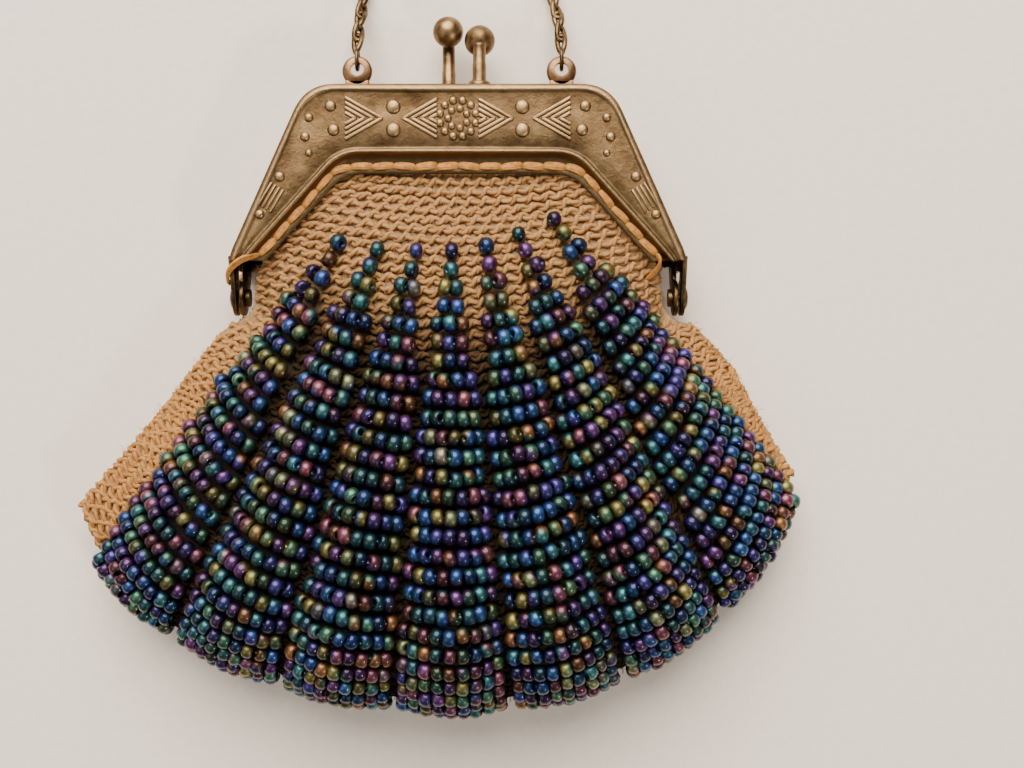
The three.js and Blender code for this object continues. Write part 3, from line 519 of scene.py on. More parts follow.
# Materials.
class Finish:
    """A material under construction: its nodes, and its shader."""

    def __init__(self, name, **sockets):
        self.material = bpy.data.materials.new(name)
        self.material.use_nodes = True
        self.nodes = self.material.node_tree.nodes
        self.links = self.material.node_tree.links
        self.shader = self.nodes["Principled BSDF"]
        self.coordinates = self.nodes.new("ShaderNodeTexCoord").outputs["Object"]
        for socket, value in sockets.items():
            self.to(socket.replace("_", " ").title(), value)

    def feed(self, socket, value):
        """Links a socket, or sets it to a number or a colour."""
        if isinstance(value, bpy.types.NodeSocket):
            self.links.new(value, socket)
        else:
            socket.default_value = (*value, 1) if isinstance(value, tuple) else value

    def to(self, socket, value):
        self.feed(self.shader.inputs[socket], value)

    def node(self, kind, inputs, **settings):
        """The outputs of a new node with these inputs and settings."""
        node = self.nodes.new("ShaderNode" + kind)
        for name, value in settings.items():
            setattr(node, name, value)
        for socket, value in inputs.items():
            self.feed(node.inputs[socket], value)
        return node.outputs

    def noise(self, scale, detail, roughness):
        inputs = {"Vector": self.coordinates, "Scale": scale, "Detail": detail, "Roughness": roughness}
        return self.node("TexNoise", inputs)["Fac"]

    def ranged(self, value, low, high, to_low=0.0, to_high=1.0):
        inputs = {"Value": value, "From Min": low, "From Max": high, "To Min": to_low, "To Max": to_high}
        return self.node("MapRange", inputs)["Result"]

    def grain(self, name, to_low=0.0, to_high=1.0):
        """A noise from the table of grains, brought into a range."""
        *noise, low, high = GRAINS[name]
        return self.ranged(self.noise(*noise), low, high, to_low, to_high)

    def math(self, operation, *values):
        return self.node("Math", dict(enumerate(values)), operation=operation)["Value"]

    def blended(self, share, low, high):
        """A colour between two, which are colours or links."""
        return self.node("Mix", {"Factor": share, 6: low, 7: high}, data_type="RGBA")[2]

    def bump(self, name):
        *noise, strength, distance = BUMPS[name]
        inputs = {"Strength": strength, "Distance": distance, "Height": self.noise(*noise)}
        self.to("Normal", self.node("Bump", inputs)["Normal"])

    def along(self, axis):
        return self.node("SeparateXYZ", {"Vector": self.coordinates})[axis]

    def stored(self, name):
        """A number that is kept with each point of the mesh."""
        return self.node("Attribute", {}, attribute_name=name)["Fac"]

    def beside(self):
        """How far a point is in the side strips, from 0 to 1."""
        return self.ranged(self.math("ABSOLUTE", self.along("X")), *SIDE_STRIP)


def shade(low, share):
    """A colour darkened to a share of itself."""
    return tuple(value * share for value in low)


@functools.cache
def embossed_brass():
    """Brass that is rubbed bright where the relief stands proud and brown in the hollows, with painted shade
    on the sunk flange and its step.
    """
    brass = bpy.context.scene.purse_brass
    finish = Finish("embossed_brass", metallic=1.0)
    from_parting = finish.math("ABSOLUTE", finish.math("SUBTRACT", finish.along("Z"), PARTING_Z * MM))
    proud = finish.ranged(from_parting, PROUD["start"] * MM, PROUD["full"] * MM, 0.0, PROUD["rubbed"])
    rubbed = finish.math("MAXIMUM", proud, finish.grain("blotch", 0.0, PROUD["blotched"]))
    face = finish.blended(rubbed, tuple(brass.patina), tuple(brass.worn))
    # Painted shade: the sunk flange and its step are darkened towards dark worn brass, and the border partly.
    finish.to("Base Color", finish.blended(finish.stored("sunk"), face, shade(brass.worn, SUNK_SHADE)))
    finish.to("Roughness", finish.grain("scuff", 0.34, 0.5))
    finish.bump("embossed")
    return finish.material


@functools.cache
def plain_brass(name):
    """Tarnished brass with soft blotches."""
    brass = bpy.context.scene.purse_brass
    bright, bright_share, dark, dark_share, rough = BRASSES[name]
    finish = Finish(name, metallic=1.0)
    low, high = shade(getattr(brass, dark), dark_share), shade(getattr(brass, bright), bright_share)
    finish.to("Base Color", finish.blended(finish.grain("tarnish"), low, high))
    finish.to("Roughness", finish.grain("wear", rough - 0.08, rough + 0.1))
    finish.bump("brass")
    return finish.material


@functools.cache
def yarn_finish():
    """Fine spun yarn, tan in the yoke, more ginger in the side strips, darkened with painted shade under and
    between the ribs of beads.
    """
    knit = bpy.context.scene.purse_knit
    finish = Finish("yarn", roughness=0.92)
    finish.to("Specular IOR Level", 0.15)
    side = finish.beside()
    light = finish.blended(side, tuple(knit.tan), tuple(knit.ginger))
    deep = finish.blended(side, shade(knit.tan, 0.7), shade(knit.ginger, 0.62))
    open_knit = finish.blended(finish.grain("fleck"), deep, light)
    # Painted shade: yarn under and between the ribs of beads is darkened almost to black.
    painted_shade_colour = shade(knit.tan, PAINTED_SHADE_UNDER_BEADS["yarn"])
    finish.to("Base Color", finish.blended(finish.stored("cover"), open_knit, painted_shade_colour))
    finish.bump("yarn")
    return finish.material


@functools.cache
def ground_finish():
    """The knitted ground between the ridges, darkened almost to black with painted shade under the beads."""
    knit = bpy.context.scene.purse_knit
    finish = Finish("knit_ground", roughness=0.95)
    hollow = finish.blended(finish.grain("fleck"), shade(knit.hollow, 0.8), shade(knit.hollow, 1.2))
    open_knit = finish.blended(finish.beside(), hollow, shade(knit.ginger, 0.7))
    # Painted shade: the ground under the beads is darkened almost to black.
    painted_shade_colour = shade(knit.tan, PAINTED_SHADE_UNDER_BEADS["ground"])
    finish.to("Base Color", finish.blended(finish.stored("cover"), open_knit, painted_shade_colour))
    finish.bump("ground")
    return finish.material


@functools.cache
def floss_finish():
    """Glossy sewing floss."""
    thread = bpy.context.scene.purse_thread
    finish = Finish("amber_floss", roughness=0.6)
    dark, bright = shade(thread.amber, 0.6), shade(thread.amber, 1.35)
    finish.to("Base Color", finish.blended(finish.grain("streak"), dark, bright))
    finish.bump("floss")
    return finish.material


@functools.cache
def iris_finish():
    """Metallic iris glass: each bead shades between its two hues."""
    finish = Finish("iris_beads", metallic=1.0, coat_weight=0.5, coat_roughness=0.1)
    hue = finish.node("VertexColor", {}, layer_name="iris")["Color"]
    stained = finish.blended(finish.grain("stain"), IRIS_STAIN["colour"], hue)
    finish.to("Base Color", finish.blended(IRIS_STAIN["even"], stained, hue))
    finish.to("Roughness", finish.grain("gloss", 0.45, 0.6))
    return finish.material


# The bag's surface.
def read_section(column, radius):
    """A column of the section table at a radius, on a smooth curve through its rows."""
    index = SECTION_COLUMNS.index(column)
    radii = [row[0] for row in BAG_SECTIONS]
    radius = min(max(radius, radii[0]), radii[-1])
    low = max(i for i in range(len(radii) - 1) if radii[i] <= radius)
    values = [row[index] for row in BAG_SECTIONS]

    def slope(i):
        before, after = max(i - 1, 0), min(i + 1, len(radii) - 1)
        return (values[after] - values[before]) / (radii[after] - radii[before])

    span = radii[low + 1] - radii[low]
    t = (radius - radii[low]) / span
    rise = values[low] * (2 * t**3 - 3 * t**2 + 1) + values[low + 1] * (3 * t**2 - 2 * t**3)
    return rise + span * (slope(low) * (t**3 - 2 * t**2 + t) + slope(low + 1) * (t**3 - t**2))


def half_angle(radius, side):
    """The angle of a side seam at a radius; the right half is a little wider than the left one."""
    return read_section("half_angle", radius) + (read_section("right_wider", radius) if side > 0 else 0.0)


def fan_lean(radius):
    """Degrees by which the fan leans at a radius."""
    return FAN_LEAN["angle"] * smoothstep(radius, FAN_LEAN["start"], FAN_LEAN["end"])


def fan_point(radius, angle):
    turn = math.radians(angle + fan_lean(radius))
    return radius * math.sin(turn), FAN_APEX_Y - radius * math.cos(turn)


def mouth_radius(angle):
    return (FAN_APEX_Y - MOUTH_TOP_Y) / math.cos(math.radians(angle))


def fold_radius(angle):
    share = min(abs(angle) / BAG_SECTIONS[-1][1], 1.0)
    cut, power = BOTTOM_CORNERS["left" if angle < 0 else "right"]
    return BOTTOM_RADIUS - cut * share**power


def rib_width(rib):
    """Degrees from a rib's left gap to its right one."""
    return RIB_PITCH + (LAST_RIB["wider"] if rib == RIB_COUNT - 1 else 0.0)


def rib_gap(angle):
    """Where an angle is between ribs of beads: 1 in a gap, 0 in the middle of a rib and beside the ribs."""
    from_first = angle - RIB_MIDDLE + RIB_COUNT * RIB_PITCH / 2
    last = (RIB_COUNT - 1) * RIB_PITCH
    share = from_first / RIB_PITCH
    if from_first > last:
        share = (from_first - last) / rib_width(RIB_COUNT - 1)
    if from_first < 0 or from_first > last + rib_width(RIB_COUNT - 1):
        return 0.0
    return (0.5 + 0.5 * math.cos(share * 2 * math.pi)) ** 2


def rib_groove(radius, angle):
    """The knitting is drawn in between the ribs of beads."""
    return RIB_GROOVE["depth"] * smoothstep(radius, RIB_GROOVE["start"], RIB_GROOVE["full"]) * rib_gap(angle)


def knit_height(wall, radius, angle, grooved=True):
    """Height of the knitted surface above the table."""
    share = min(abs(angle) / half_angle(radius, angle), 1.0)
    edge = read_section("edge_" + wall, radius)
    below = smoothstep(radius, FLANGE_COVERS["start"], FLANGE_COVERS["end"])
    dome = 1 - min(share / mix(FLANGE_COVERS["share"], 1.0, below), 1.0) ** DOME_POWER[wall]
    swell = smoothstep(MOUTH_RISE["start"] - fan_point(radius, angle)[1], 0.0, MOUTH_RISE["over"])
    height = edge + (read_section(wall, radius) - edge) * dome * swell
    height -= rib_groove(radius, angle) * dome if grooved and wall == "front" else 0.0
    to_fold = min(max((fold_radius(angle) - radius) / FOLD_ROLL[wall], 0.0), 1.0)
    return FOLD_Z + (height - FOLD_Z) * math.sqrt(1 - (1 - to_fold) ** 2)


@functools.cache
def ray_profile(step):
    """Along one ray of the fan, front mouth to fold to back mouth: length walked, radius and height.

    The length walked to the fold, and the lengths as they would be without the grooves, come with them.
    """
    angle = step * PROFILE_TURN
    first, last = mouth_radius(angle), fold_radius(angle)
    shares = 1 - (1 - np.linspace(0, 1, PROFILE_STEPS)) ** PROFILE_CROWDING
    radii = first + (last - first) * shares
    along = np.concatenate([radii, radii[-2::-1]])
    back = [knit_height("back", radius, angle) for radius in radii[-2::-1]]

    def measured(grooved):
        heights = np.array([*(knit_height("front", radius, angle, grooved) for radius in radii), *back])
        return heights, run_lengths(zip(along, heights))

    heights, walked = measured(True)
    return walked, along, heights, walked[PROFILE_STEPS - 1], measured(False)[1]


def profile_at(angle):
    return ray_profile(round(angle / PROFILE_TURN))


def bag_radius(angle, walked):
    lengths, radii = profile_at(angle)[:2]
    return float(np.interp(walked, lengths, radii))


def bag_point(angle, walked):
    lengths, radii, heights = profile_at(angle)[:3]
    radius = float(np.interp(walked, lengths, radii))
    return Vector((*fan_point(radius, angle), float(np.interp(walked, lengths, heights))))


def bag_frame(angle, walked):
    """A point of the bag's outside, with the directions across, along and out of it."""
    turn, step = FRAME_REACH["angle"], FRAME_REACH["walked"]
    across = bag_point(angle + turn, walked) - bag_point(angle - turn, walked)
    along = bag_point(angle, walked + step) - bag_point(angle, walked - step)
    out = along.cross(across).normalized()
    return bag_point(angle, walked), across.normalized(), along.normalized(), out


def ridge_walk(angle, walked):
    """A ridge's place on a ray: level with the mouth at first, then in step with the ray's own fold."""
    fold = profile_at(0)[3]
    return walked * mix(1.0, profile_at(angle)[3] / fold, smoothstep(walked / fold, *RIDGE_BEND))


def side_angle(side, walked):
    """The angle at which a ridge reaches the bag's side."""
    angle = side * SEAM_SEARCH["angle"]
    for _ in range(SEAM_SEARCH["rounds"]):
        angle = side * half_angle(bag_radius(angle, ridge_walk(angle, walked)), side)
    return angle


# Beads on the ribs.
def rib_angle(rib, radius):
    swing = 1 - smoothstep(radius, min(RIB_TOP_RADII), RIB_TOP_SWING["end"])
    middle = RIB_MIDDLE + (rib - RIB_COUNT / 2) * RIB_PITCH + rib_width(rib) / 2
    return middle + RIB_TOP_SWING["angle"] * swing


def rib_ray(rib, walked):
    """The ray of the fan that a rib's middle is on, this far down."""
    return rib_angle(rib, bag_radius(rib_angle(rib, BOTTOM_RADIUS), walked))


def rib_span(rib):
    """Where a rib of beads starts on the front and ends on the back, and where its fold is."""
    lengths, radii, _, fold, _ = profile_at(rib_angle(rib, BOTTOM_RADIUS))
    top = float(np.interp(RIB_TOP_RADII[rib], radii[:PROFILE_STEPS], lengths[:PROFILE_STEPS]))
    back = lengths[PROFILE_STEPS - 1:]
    end = float(np.interp(-RIB_TOP_RADII[rib], -radii[PROFILE_STEPS - 1:], back))
    return top, end, fold


def beads_in_row(rib, row, radius, spacing):
    extra = radius * math.radians(rib_width(rib) - RIB_PITCH) / spacing
    wider = round(extra * min(row / LAST_RIB["full_row"], 1))
    return BEADS_IN_ROW[min(row, len(BEADS_IN_ROW) - 1)] + wider


def depth_under_beads(radius, angle, beads):
    """How far a point of the knitting is inside the nearest rib's edge, in millimetres; negative outside."""
    away, rib = min((abs(angle - rib_angle(rib, radius)), rib) for rib in range(RIB_COUNT))
    row = (radius - RIB_TOP_RADII[rib]) / (beads.row_pitch / MM)
    if row < ABOVE_RIB["rows"]:
        return ABOVE_RIB["depth"]
    half_width = beads_in_row(rib, max(round(row), 0), radius, beads.spacing / MM) * beads.spacing / MM / 2
    return half_width - radius * math.radians(away)


def on_ray(angle, walked, middle):
    """A row's place on another ray of its rib: as far on the way to the fold or from it."""
    lengths, even = profile_at(angle)[::4]
    rib_lengths, rib_even = profile_at(middle)[::4]
    fold, rib_fold = even[PROFILE_STEPS - 1], rib_even[PROFILE_STEPS - 1]
    there = float(np.interp(walked, rib_lengths, rib_even))
    here = there * fold / rib_fold
    if there > rib_fold:
        here = fold + (there - rib_fold) * (even[-1] - fold) / (rib_even[-1] - rib_fold)
    return float(np.interp(here, even, lengths))


def bead_template(beads):
    """One seed bead about its hole, in millimetres: a rounded ring."""
    shape = bmesh.new()
    outer, half = beads.diameter / MM / 2, beads.width / MM / 2
    profile = [(radius * outer, height * half) for radius, height in BEAD_PROFILE]
    profile += [(radius, -height) for radius, height in profile[-2::-1]]
    turned(shape, [*profile, profile[0]], Matrix.Identity(4), BEAD_SEGMENTS)
    return shape


def iris_colours(template, scatter):
    """Colours of one bead's corners: a soft change from one hue to the other across it."""
    one, two = scatter.choices(IRIS_HUES, IRIS_WEIGHTS)[0]
    if scatter.random() < IRIS["mixed"]:
        two = scatter.choice(IRIS_HUES[:IRIS["mixed_hues"]])[0]
    towards = Vector([scatter.uniform(-1, 1) for _ in range(3)]).normalized()
    value = scatter.uniform(*IRIS["value"])
    rows = []
    for vert in template.verts:
        share = smoothstep(vert.co.normalized().dot(towards), -IRIS["change"], IRIS["change"])
        display = [min(mix(a, b, share) * value, 1.0) for a, b in zip(one, two)]
        rows.append([*(channel ** IRIS["gamma"] for channel in display), 1.0])
    return rows


def rib_bulge(wall, middle, walked):
    """How far the middle of a rib stands out, less towards the fold."""
    if wall == "back":
        return 0.0
    fade = smoothstep(walked / profile_at(middle)[3], RIB_BULGE["fades_from"], 1.0)
    return mix(RIB_BULGE["rib"], RIB_BULGE["fold"], fade)


def bead_rows(rib, wall, beads):
    """How far down the rows of a rib are, the fold last, evenly spaced where the beads' middles are."""
    top, end, fold = rib_span(rib)
    places = np.linspace(top if wall == "front" else end, fold, ROW_STEPS)
    middles = []
    for walked in places:
        angle = rib_ray(rib, walked)
        spot, _, _, out = bag_frame(angle, walked)
        middles.append(spot + out * (beads.diameter / MM / 2 + rib_bulge(wall, angle, walked)))
    lengths = run_lengths(middles)
    rows = round(lengths[-1] / (beads.row_pitch / MM)) + rib % 2
    return np.interp(np.linspace(0, lengths[-1], rows + 1), lengths, places)


def bead_string(wall, middle, walked, length, slack, lift):
    """The middle line of a row of beads: points, how far along it they are, and the way out of the rib."""
    near = bag_radius(middle, walked)
    out = bag_frame(middle, walked)[3]
    full = rib_bulge(wall, middle, walked)
    points = []
    for share in np.linspace(-1, 1, BEAD_STRING["steps"]):
        angle = middle + math.degrees(share * length / 2 / near)
        hump = slack * (1 - share**2)
        sag = BEAD_STRING["sag"] * hump * WALL_SIGN[wall]
        points.append(bag_point(angle, on_ray(angle, walked, middle) + sag) + out * (full * hump + lift))
    along = run_lengths(points)
    return np.array(points), along - along[len(points) // 2], out


def bead_places(wall, beads, scatter):
    """Where the beads of one wall are: matrices in millimetres."""
    radius, tight = beads.diameter / MM / 2, beads.spacing / MM
    reach = BEAD_STRING["reach"]
    for rib in range(RIB_COUNT):
        rows = bead_rows(rib, wall, beads)
        for row, walked in enumerate(rows if wall == "front" else rows[:-1]):
            middle = rib_ray(rib, walked)
            near = bag_radius(middle, walked)
            count = beads_in_row(rib, row, near, tight)
            width = min(count * tight * BEAD_STRING["longest"], near * math.radians(rib_width(rib)) - RIB_GAP)
            slack = (count - 1) / BEAD_STRING["taut"]
            line, along, out = bead_string(wall, middle, walked, width, slack, radius * BEAD_STRING["lift"])
            count = round((along[-1] - along[0]) / tight)

            def on_string(at):
                return Vector([float(np.interp(at, along, line[:, axis])) for axis in range(3)])

            for bead in range(count):
                at = (bead - (count - 1) / 2) * tight + scatter.gauss(0, BEAD_SCATTER["along"])
                hole = (on_string(at + reach) - on_string(at - reach)).normalized()
                up = (out - hole * out.dot(hole)).normalized()
                down = up.cross(hole)
                size = scatter.uniform(*BEAD_SCATTER["size"])
                spot = on_string(at) + up * scatter.uniform(*BEAD_SCATTER["out"])
                spot += down * scatter.gauss(0, BEAD_SCATTER["down"])
                spot.z = max(spot.z, radius * size + OFF_TABLE)
                nod = Matrix.Rotation(scatter.gauss(0, BEAD_SCATTER["nod"]), 4, "X")
                sway = Matrix.Rotation(scatter.gauss(0, BEAD_SCATTER["sway"]), 4, "Y")
                yield Matrix.Translation(spot) @ facing(down, up, hole) @ nod @ sway @ Matrix.Scale(size, 4)


# Frame outlines.
def rounded_outline(right_rows):
    """Points along an outline from its left end to its right end, with rounded corners."""
    rows = [(-x, y, r) for x, y, r in right_rows] + right_rows[::-1]
    points = [Vector(rows[0][:2])]
    for before, (x, y, r), after in zip(rows, rows[1:], rows[2:]):
        corner = Vector((x, y))
        back = (Vector(before[:2]) - corner).normalized()
        on = (Vector(after[:2]) - corner).normalized()
        reach = r / math.tan(back.angle(on) / 2)
        start, end = corner + back * reach, corner + on * reach
        for step in range(CORNER_STEPS + 1):
            t = step / CORNER_STEPS
            points.append(start * (1 - t) ** 2 + corner * 2 * t * (1 - t) + end * t * t)
    return points + [Vector(rows[-1][:2])]


def spaced(points, count, lowest=None):
    """Evenly spaced points along a line, which may be cut off below a height."""
    line = np.array([tuple(point) for point in points])
    if lowest is not None:
        fine = np.array([tuple(point) for point in spaced(points, FINE_STEPS)])
        line = fine[fine[:, 1] >= lowest]
    walked = run_lengths(line)
    wanted = np.linspace(0, walked[-1], count)
    return [Vector(row) for row in zip(*(np.interp(wanted, walked, column) for column in line.T))]


@functools.cache
def frame_lines():
    edges = (OUTER_EDGE, BORDER_EDGE, FLANGE_EDGE)
    return [spaced(rounded_outline(rows), PATH_STEPS, FACE_END_Y) for rows in edges]


def sheet_point(step, zone, inset):
    """A point of the stamped sheet in plan."""
    outer, border, flange = (line[step] for line in frame_lines())
    width = (border - outer).length
    tight = min(1.0, width / (FIELD["start"] + FIELD["end"] + FIELD["clear"])) / width
    if zone == "rim":
        return outer.lerp(border, inset * tight)
    if zone == "field":
        return outer.lerp(border, mix(FIELD["start"] * tight, 1 - FIELD["end"] * tight, inset))
    if zone == "border" and inset >= 0:
        return border.lerp(outer, inset * tight)
    if zone == "border":
        return border.lerp(flange, -inset / (flange - border).length)
    return flange.lerp(border, inset / (flange - border).length)


def sunk_share(zone, inset):
    """How far a line of the sheet is darkened: all of the flange and its step, as painted shade, and part of
    the border.
    """
    if zone == "flange" or inset < 0:
        return 1.0
    return BORDER_SUNK if zone == "border" else 0.0


def half_matrix(half):
    """From a frame half's own millimetres, parting plane at zero, to the part's frame."""
    lift = to_part() @ Matrix.Translation((0, 0, PARTING_Z))
    return lift if half == "front" else lift @ Matrix.Scale(-1, 4, (0, 0, 1))


def rounded_block(shape, matrix, size, rounding):
    """Adds a block with rounded edges, in millimetres."""
    block = bmesh.new()
    bmesh.ops.create_cube(block, size=1.0)
    bmesh.ops.scale(block, vec=size, verts=block.verts)
    bevelled(block, [*block.verts, *block.edges], rounding, 3)
    add_copy(shape, block, matrix)
    block.free()


def sheet_mesh(half):
    """The stamped face, rim, milled border, step and sewing flange of a frame half."""
    shape = bmesh.new()
    last_step, last_line = PATH_STEPS - 1, len(SHEET_LINES) - 1
    bmesh.ops.create_grid(shape, x_segments=last_step, y_segments=last_line, size=1.0)
    sunk = []
    for vert in shape.verts:
        step = round((vert.co.x + 1) / 2 * last_step)
        zone, inset, height = SHEET_LINES[round((vert.co.y + 1) / 2 * last_line)]
        vert.co = (*sheet_point(step, zone, inset), height)
        # Painted shade: the flange and its step are kept as darkened, and the border partly.
        sunk.append(sunk_share(zone, inset))
    bmesh.ops.transform(shape, matrix=half_matrix(half), verts=shape.verts)
    if half == "front":
        bmesh.ops.reverse_faces(shape, faces=shape.faces)
    mesh = mesh_of(shape, f"frame_{half}_sheet")
    store(mesh, "sunk", sunk)
    return mesh


def relief_mesh(half):
    """The embossed dots, rosette, chevrons and leg lines of a frame half."""
    shape = bmesh.new()
    dot = bmesh.new()
    bmesh.ops.create_uvsphere(dot, u_segments=18, v_segments=9, radius=1.0)
    place = half_matrix(half)
    rosette = [
        (radius * math.cos(turn), MOTIF_Y + radius * math.sin(turn), size)
        for count, radius, size in ROSETTE_RINGS
        for turn in ((i + 0.5) / count * 2 * math.pi for i in range(count))
    ]
    pairs = [(side * x, y, size) for side in (-1, 1) for x, y, size in EMBOSSED_DOTS]
    for x, y, size in rosette + pairs:
        flat = Matrix.Diagonal((size, size, min(DOT["rise"], size * DOT["flatness"]), 1))
        add_copy(shape, dot, place @ Matrix.Translation((x, y, FACE_Z)) @ flat)
    dot.free()
    for side in (-1, 1):
        for apex, opens, reach in CHEVRON_FANS:
            for inwards in range(CHEVRON["nested"]):
                tip = Vector((side * (apex + opens * inwards * CHEVRON["step"]), MOTIF_Y))
                run = reach - inwards * CHEVRON["step"]
                for up in (-1, 1):
                    tail = tip + Vector((side * opens * run, up * run * CHEVRON["slope"]))
                    raised_bar(shape, place, tip, tail, **CHEVRON_BAR)
        for shift in LEG_LINES["shifts"]:
            start, end = (Vector((side * x, y)) for x, y in LEG_LINES["ends"])
            across = Vector((start.y - end.y, end.x - start.x)).normalized() * shift
            raised_bar(shape, place, start + across, end + across, **LEG_BAR)
    return mesh_of(shape, f"frame_{half}_relief")


def raised_bar(shape, place, start, end, width, rise):
    """Adds a rounded bar that stands on the front face from start to end."""
    run = end - start
    turn = Matrix.Rotation(math.atan2(run.y, run.x), 4, "Z")
    matrix = place @ Matrix.Translation((*((start + end) / 2), FACE_Z)) @ turn
    size = (run.length + width * BAR_END, width, rise * 2)
    rounded_block(shape, matrix, size, min(width, rise) * BAR_ROUNDING)


def tab_mesh(half):
    """The two hinge tabs of a frame half; the back's are set in, with blocks that carry them."""
    shape = bmesh.new()
    set_in = 0.0 if half == "front" else TAB["set_in"]
    for side in (-1, 1):
        tab = bmesh.new()
        outline = [(PARTING_GAP / 2, TAB["top"]), (PARTING_GAP / 2, TAB["radius"])]
        for step in range(1, TAB_STEPS + 1):
            turn = math.pi / 2 + step / TAB_STEPS * 1.5 * math.pi
            outline.append((TAB["radius"] * math.cos(turn), TAB["radius"] * math.sin(turn)))
        outline.append((FACE_Z - TAB["under_face"], TAB["top"]))
        face = tab.faces.new([tab.verts.new((0, y, z)) for z, y in outline])
        grown = bmesh.ops.extrude_face_region(tab, geom=[face])["geom"]
        moved = [item for item in grown if isinstance(item, bmesh.types.BMVert)]
        bmesh.ops.translate(tab, vec=(TAB["thickness"], 0, 0), verts=moved)
        bmesh.ops.recalc_face_normals(tab, faces=tab.faces)
        rims = [edge for edge in tab.edges if edge.calc_face_angle(0) > 1]
        bevelled(tab, rims, TAB["rounding"], 2)
        left = HALF_WIDTH - set_in - TAB["thickness"] if side > 0 else set_in - HALF_WIDTH
        add_copy(shape, tab, half_matrix(half) @ Matrix.Translation((left, 0, 0)))
        tab.free()
        if set_in:
            wide = TAB["set_in"] + TAB["thickness"] * 0.5
            x = side * (HALF_WIDTH - TAB_BLOCK["inset"] - wide / 2)
            block = Matrix.Translation((x, TAB["top"] - TAB_BLOCK["below_top"], TAB_BLOCK["z"]))
            size = (wide, TAB_BLOCK["height"], TAB_BLOCK["depth"])
            rounded_block(shape, half_matrix(half) @ block, size, TAB["rounding"])
    return mesh_of(shape, f"frame_{half}_tabs")


def ear_mesh():
    """The two flat ears that carry the chain, on the back half's top wall."""
    shape = bmesh.new()
    hole, radius, half = EAR["hole"], EAR["radius"], EAR["thickness"] / 2
    inner, level = radius - EAR_EDGE["in"], half - EAR_EDGE["down"]
    ring = [(hole, -half), (inner, -half), (radius, -level), (radius, level), (inner, half), (hole, half)]
    neck_top, neck_foot = EAR["y"] - EAR_NECK["below_hole"], FRAME_TOP_Y - EAR_NECK["into_wall"]
    neck = Matrix.Translation((0, (neck_top + neck_foot) / 2 - EAR["y"], 0))
    neck_size = (2 * EAR_NECK["half_width"], neck_top - neck_foot, EAR["thickness"])
    for side in (-1, 1):
        place = half_matrix("back") @ Matrix.Translation((side * EAR["x"], EAR["y"], PARTING_GAP / 2 + half))
        turned(shape, [*ring, ring[0]], place, segments=40)
        rounded_block(shape, place @ neck, neck_size, EAR_NECK["rounding"])
    for vert in shape.verts:
        centre = placed(math.copysign(EAR["x"], vert.co.x), EAR["y"], 0)
        reach = (Vector((vert.co.x, vert.co.y)) - centre.xy).length / MM
        vert.co.y += EAR["hole_lift"] * MM * (1 - smoothstep(reach, hole, radius - EAR_EDGE["still"]))
    return mesh_of(shape, "chain_ears")


# Chain.
def smooth_route(rows, count):
    """Evenly spaced points on a smooth curve through the rows."""
    points = [Vector(row) for row in rows]
    fine = []
    for a, b, c, d in zip([points[0], *points], points, points[1:], [*points[2:], points[-1]]):
        for step in range(CURVE_STEPS):
            t = step / CURVE_STEPS
            bend = (2 * a - 5 * b + 4 * c - d) * t * t + (3 * b - a - 3 * c + d) * t**3
            fine.append(b + 0.5 * ((c - a) * t + bend))
    return spaced([*fine, points[-1]], count)


def link_template(half_length, half_width, wire, twist):
    """One wire link about its middle, long way along X, in millimetres."""
    shape = bmesh.new()
    bmesh.ops.create_circle(shape, segments=LINK["sides"], radius=wire / 2)
    bmesh.ops.rotate(shape, cent=(0, 0, 0), matrix=Matrix.Rotation(math.pi / 2, 3, "X"), verts=shape.verts)
    bmesh.ops.translate(shape, vec=(1, 0, 0), verts=shape.verts)
    spun(shape, LINK["steps"])
    for vert in shape.verts:
        turn = math.atan2(vert.co.y, vert.co.x)
        rim = Vector((vert.co.x, vert.co.y)).length - 1
        flat = abs(math.cos(turn)) ** LINK["flatness"] * math.copysign(1, math.cos(turn))
        vert.co = (
            flat * half_length + math.cos(turn) * rim,
            math.sin(turn) * (half_width + rim),
            vert.co.z + twist * math.sin(2 * turn),
        )
    bmesh.ops.recalc_face_normals(shape, faces=shape.faces)
    return shape


def chain_mesh(chain):
    """The whole chain, link by link, with its end links through the ears."""
    shape = bmesh.new()
    wire, pitch = chain.wire / MM, chain.pitch / MM
    link = link_template(pitch / 2 + wire / 2, (chain.width / MM - wire) / 2, wire, LINK["twist"])
    count = round(run_lengths(smooth_route(CHAIN_ROUTE, ROUTE_STEPS))[-1] / pitch) + 1
    route = smooth_route(CHAIN_ROUTE, count)
    for index, spot in enumerate(route):
        ahead = heading(route, index).normalized()
        beside = Vector((0, 0, 1)).cross(ahead).normalized()
        turn = facing(ahead, beside, ahead.cross(beside))
        roll = Matrix.Rotation(math.radians(LINK["roll"] if index % 2 else -LINK["roll"]), 4, "X")
        add_copy(shape, link, to_part() @ Matrix.Translation(spot) @ turn @ roll)
    link.free()
    end = link_template(END_LINK["half_length"], END_LINK["half_width"], END_LINK["wire"], 0.0)
    upright = Matrix.Rotation(math.pi / 2, 4, "Z") @ Matrix.Rotation(math.pi / 2, 4, "X")
    ear_z = PARTING_Z - PARTING_GAP / 2 - EAR["thickness"] / 2
    for side in (-1, 1):
        spot = Matrix.Translation((side * EAR["x"], END_LINK["y"], ear_z))
        add_copy(shape, end, to_part() @ spot @ upright)
    end.free()
    return mesh_of(shape, "chain_links")


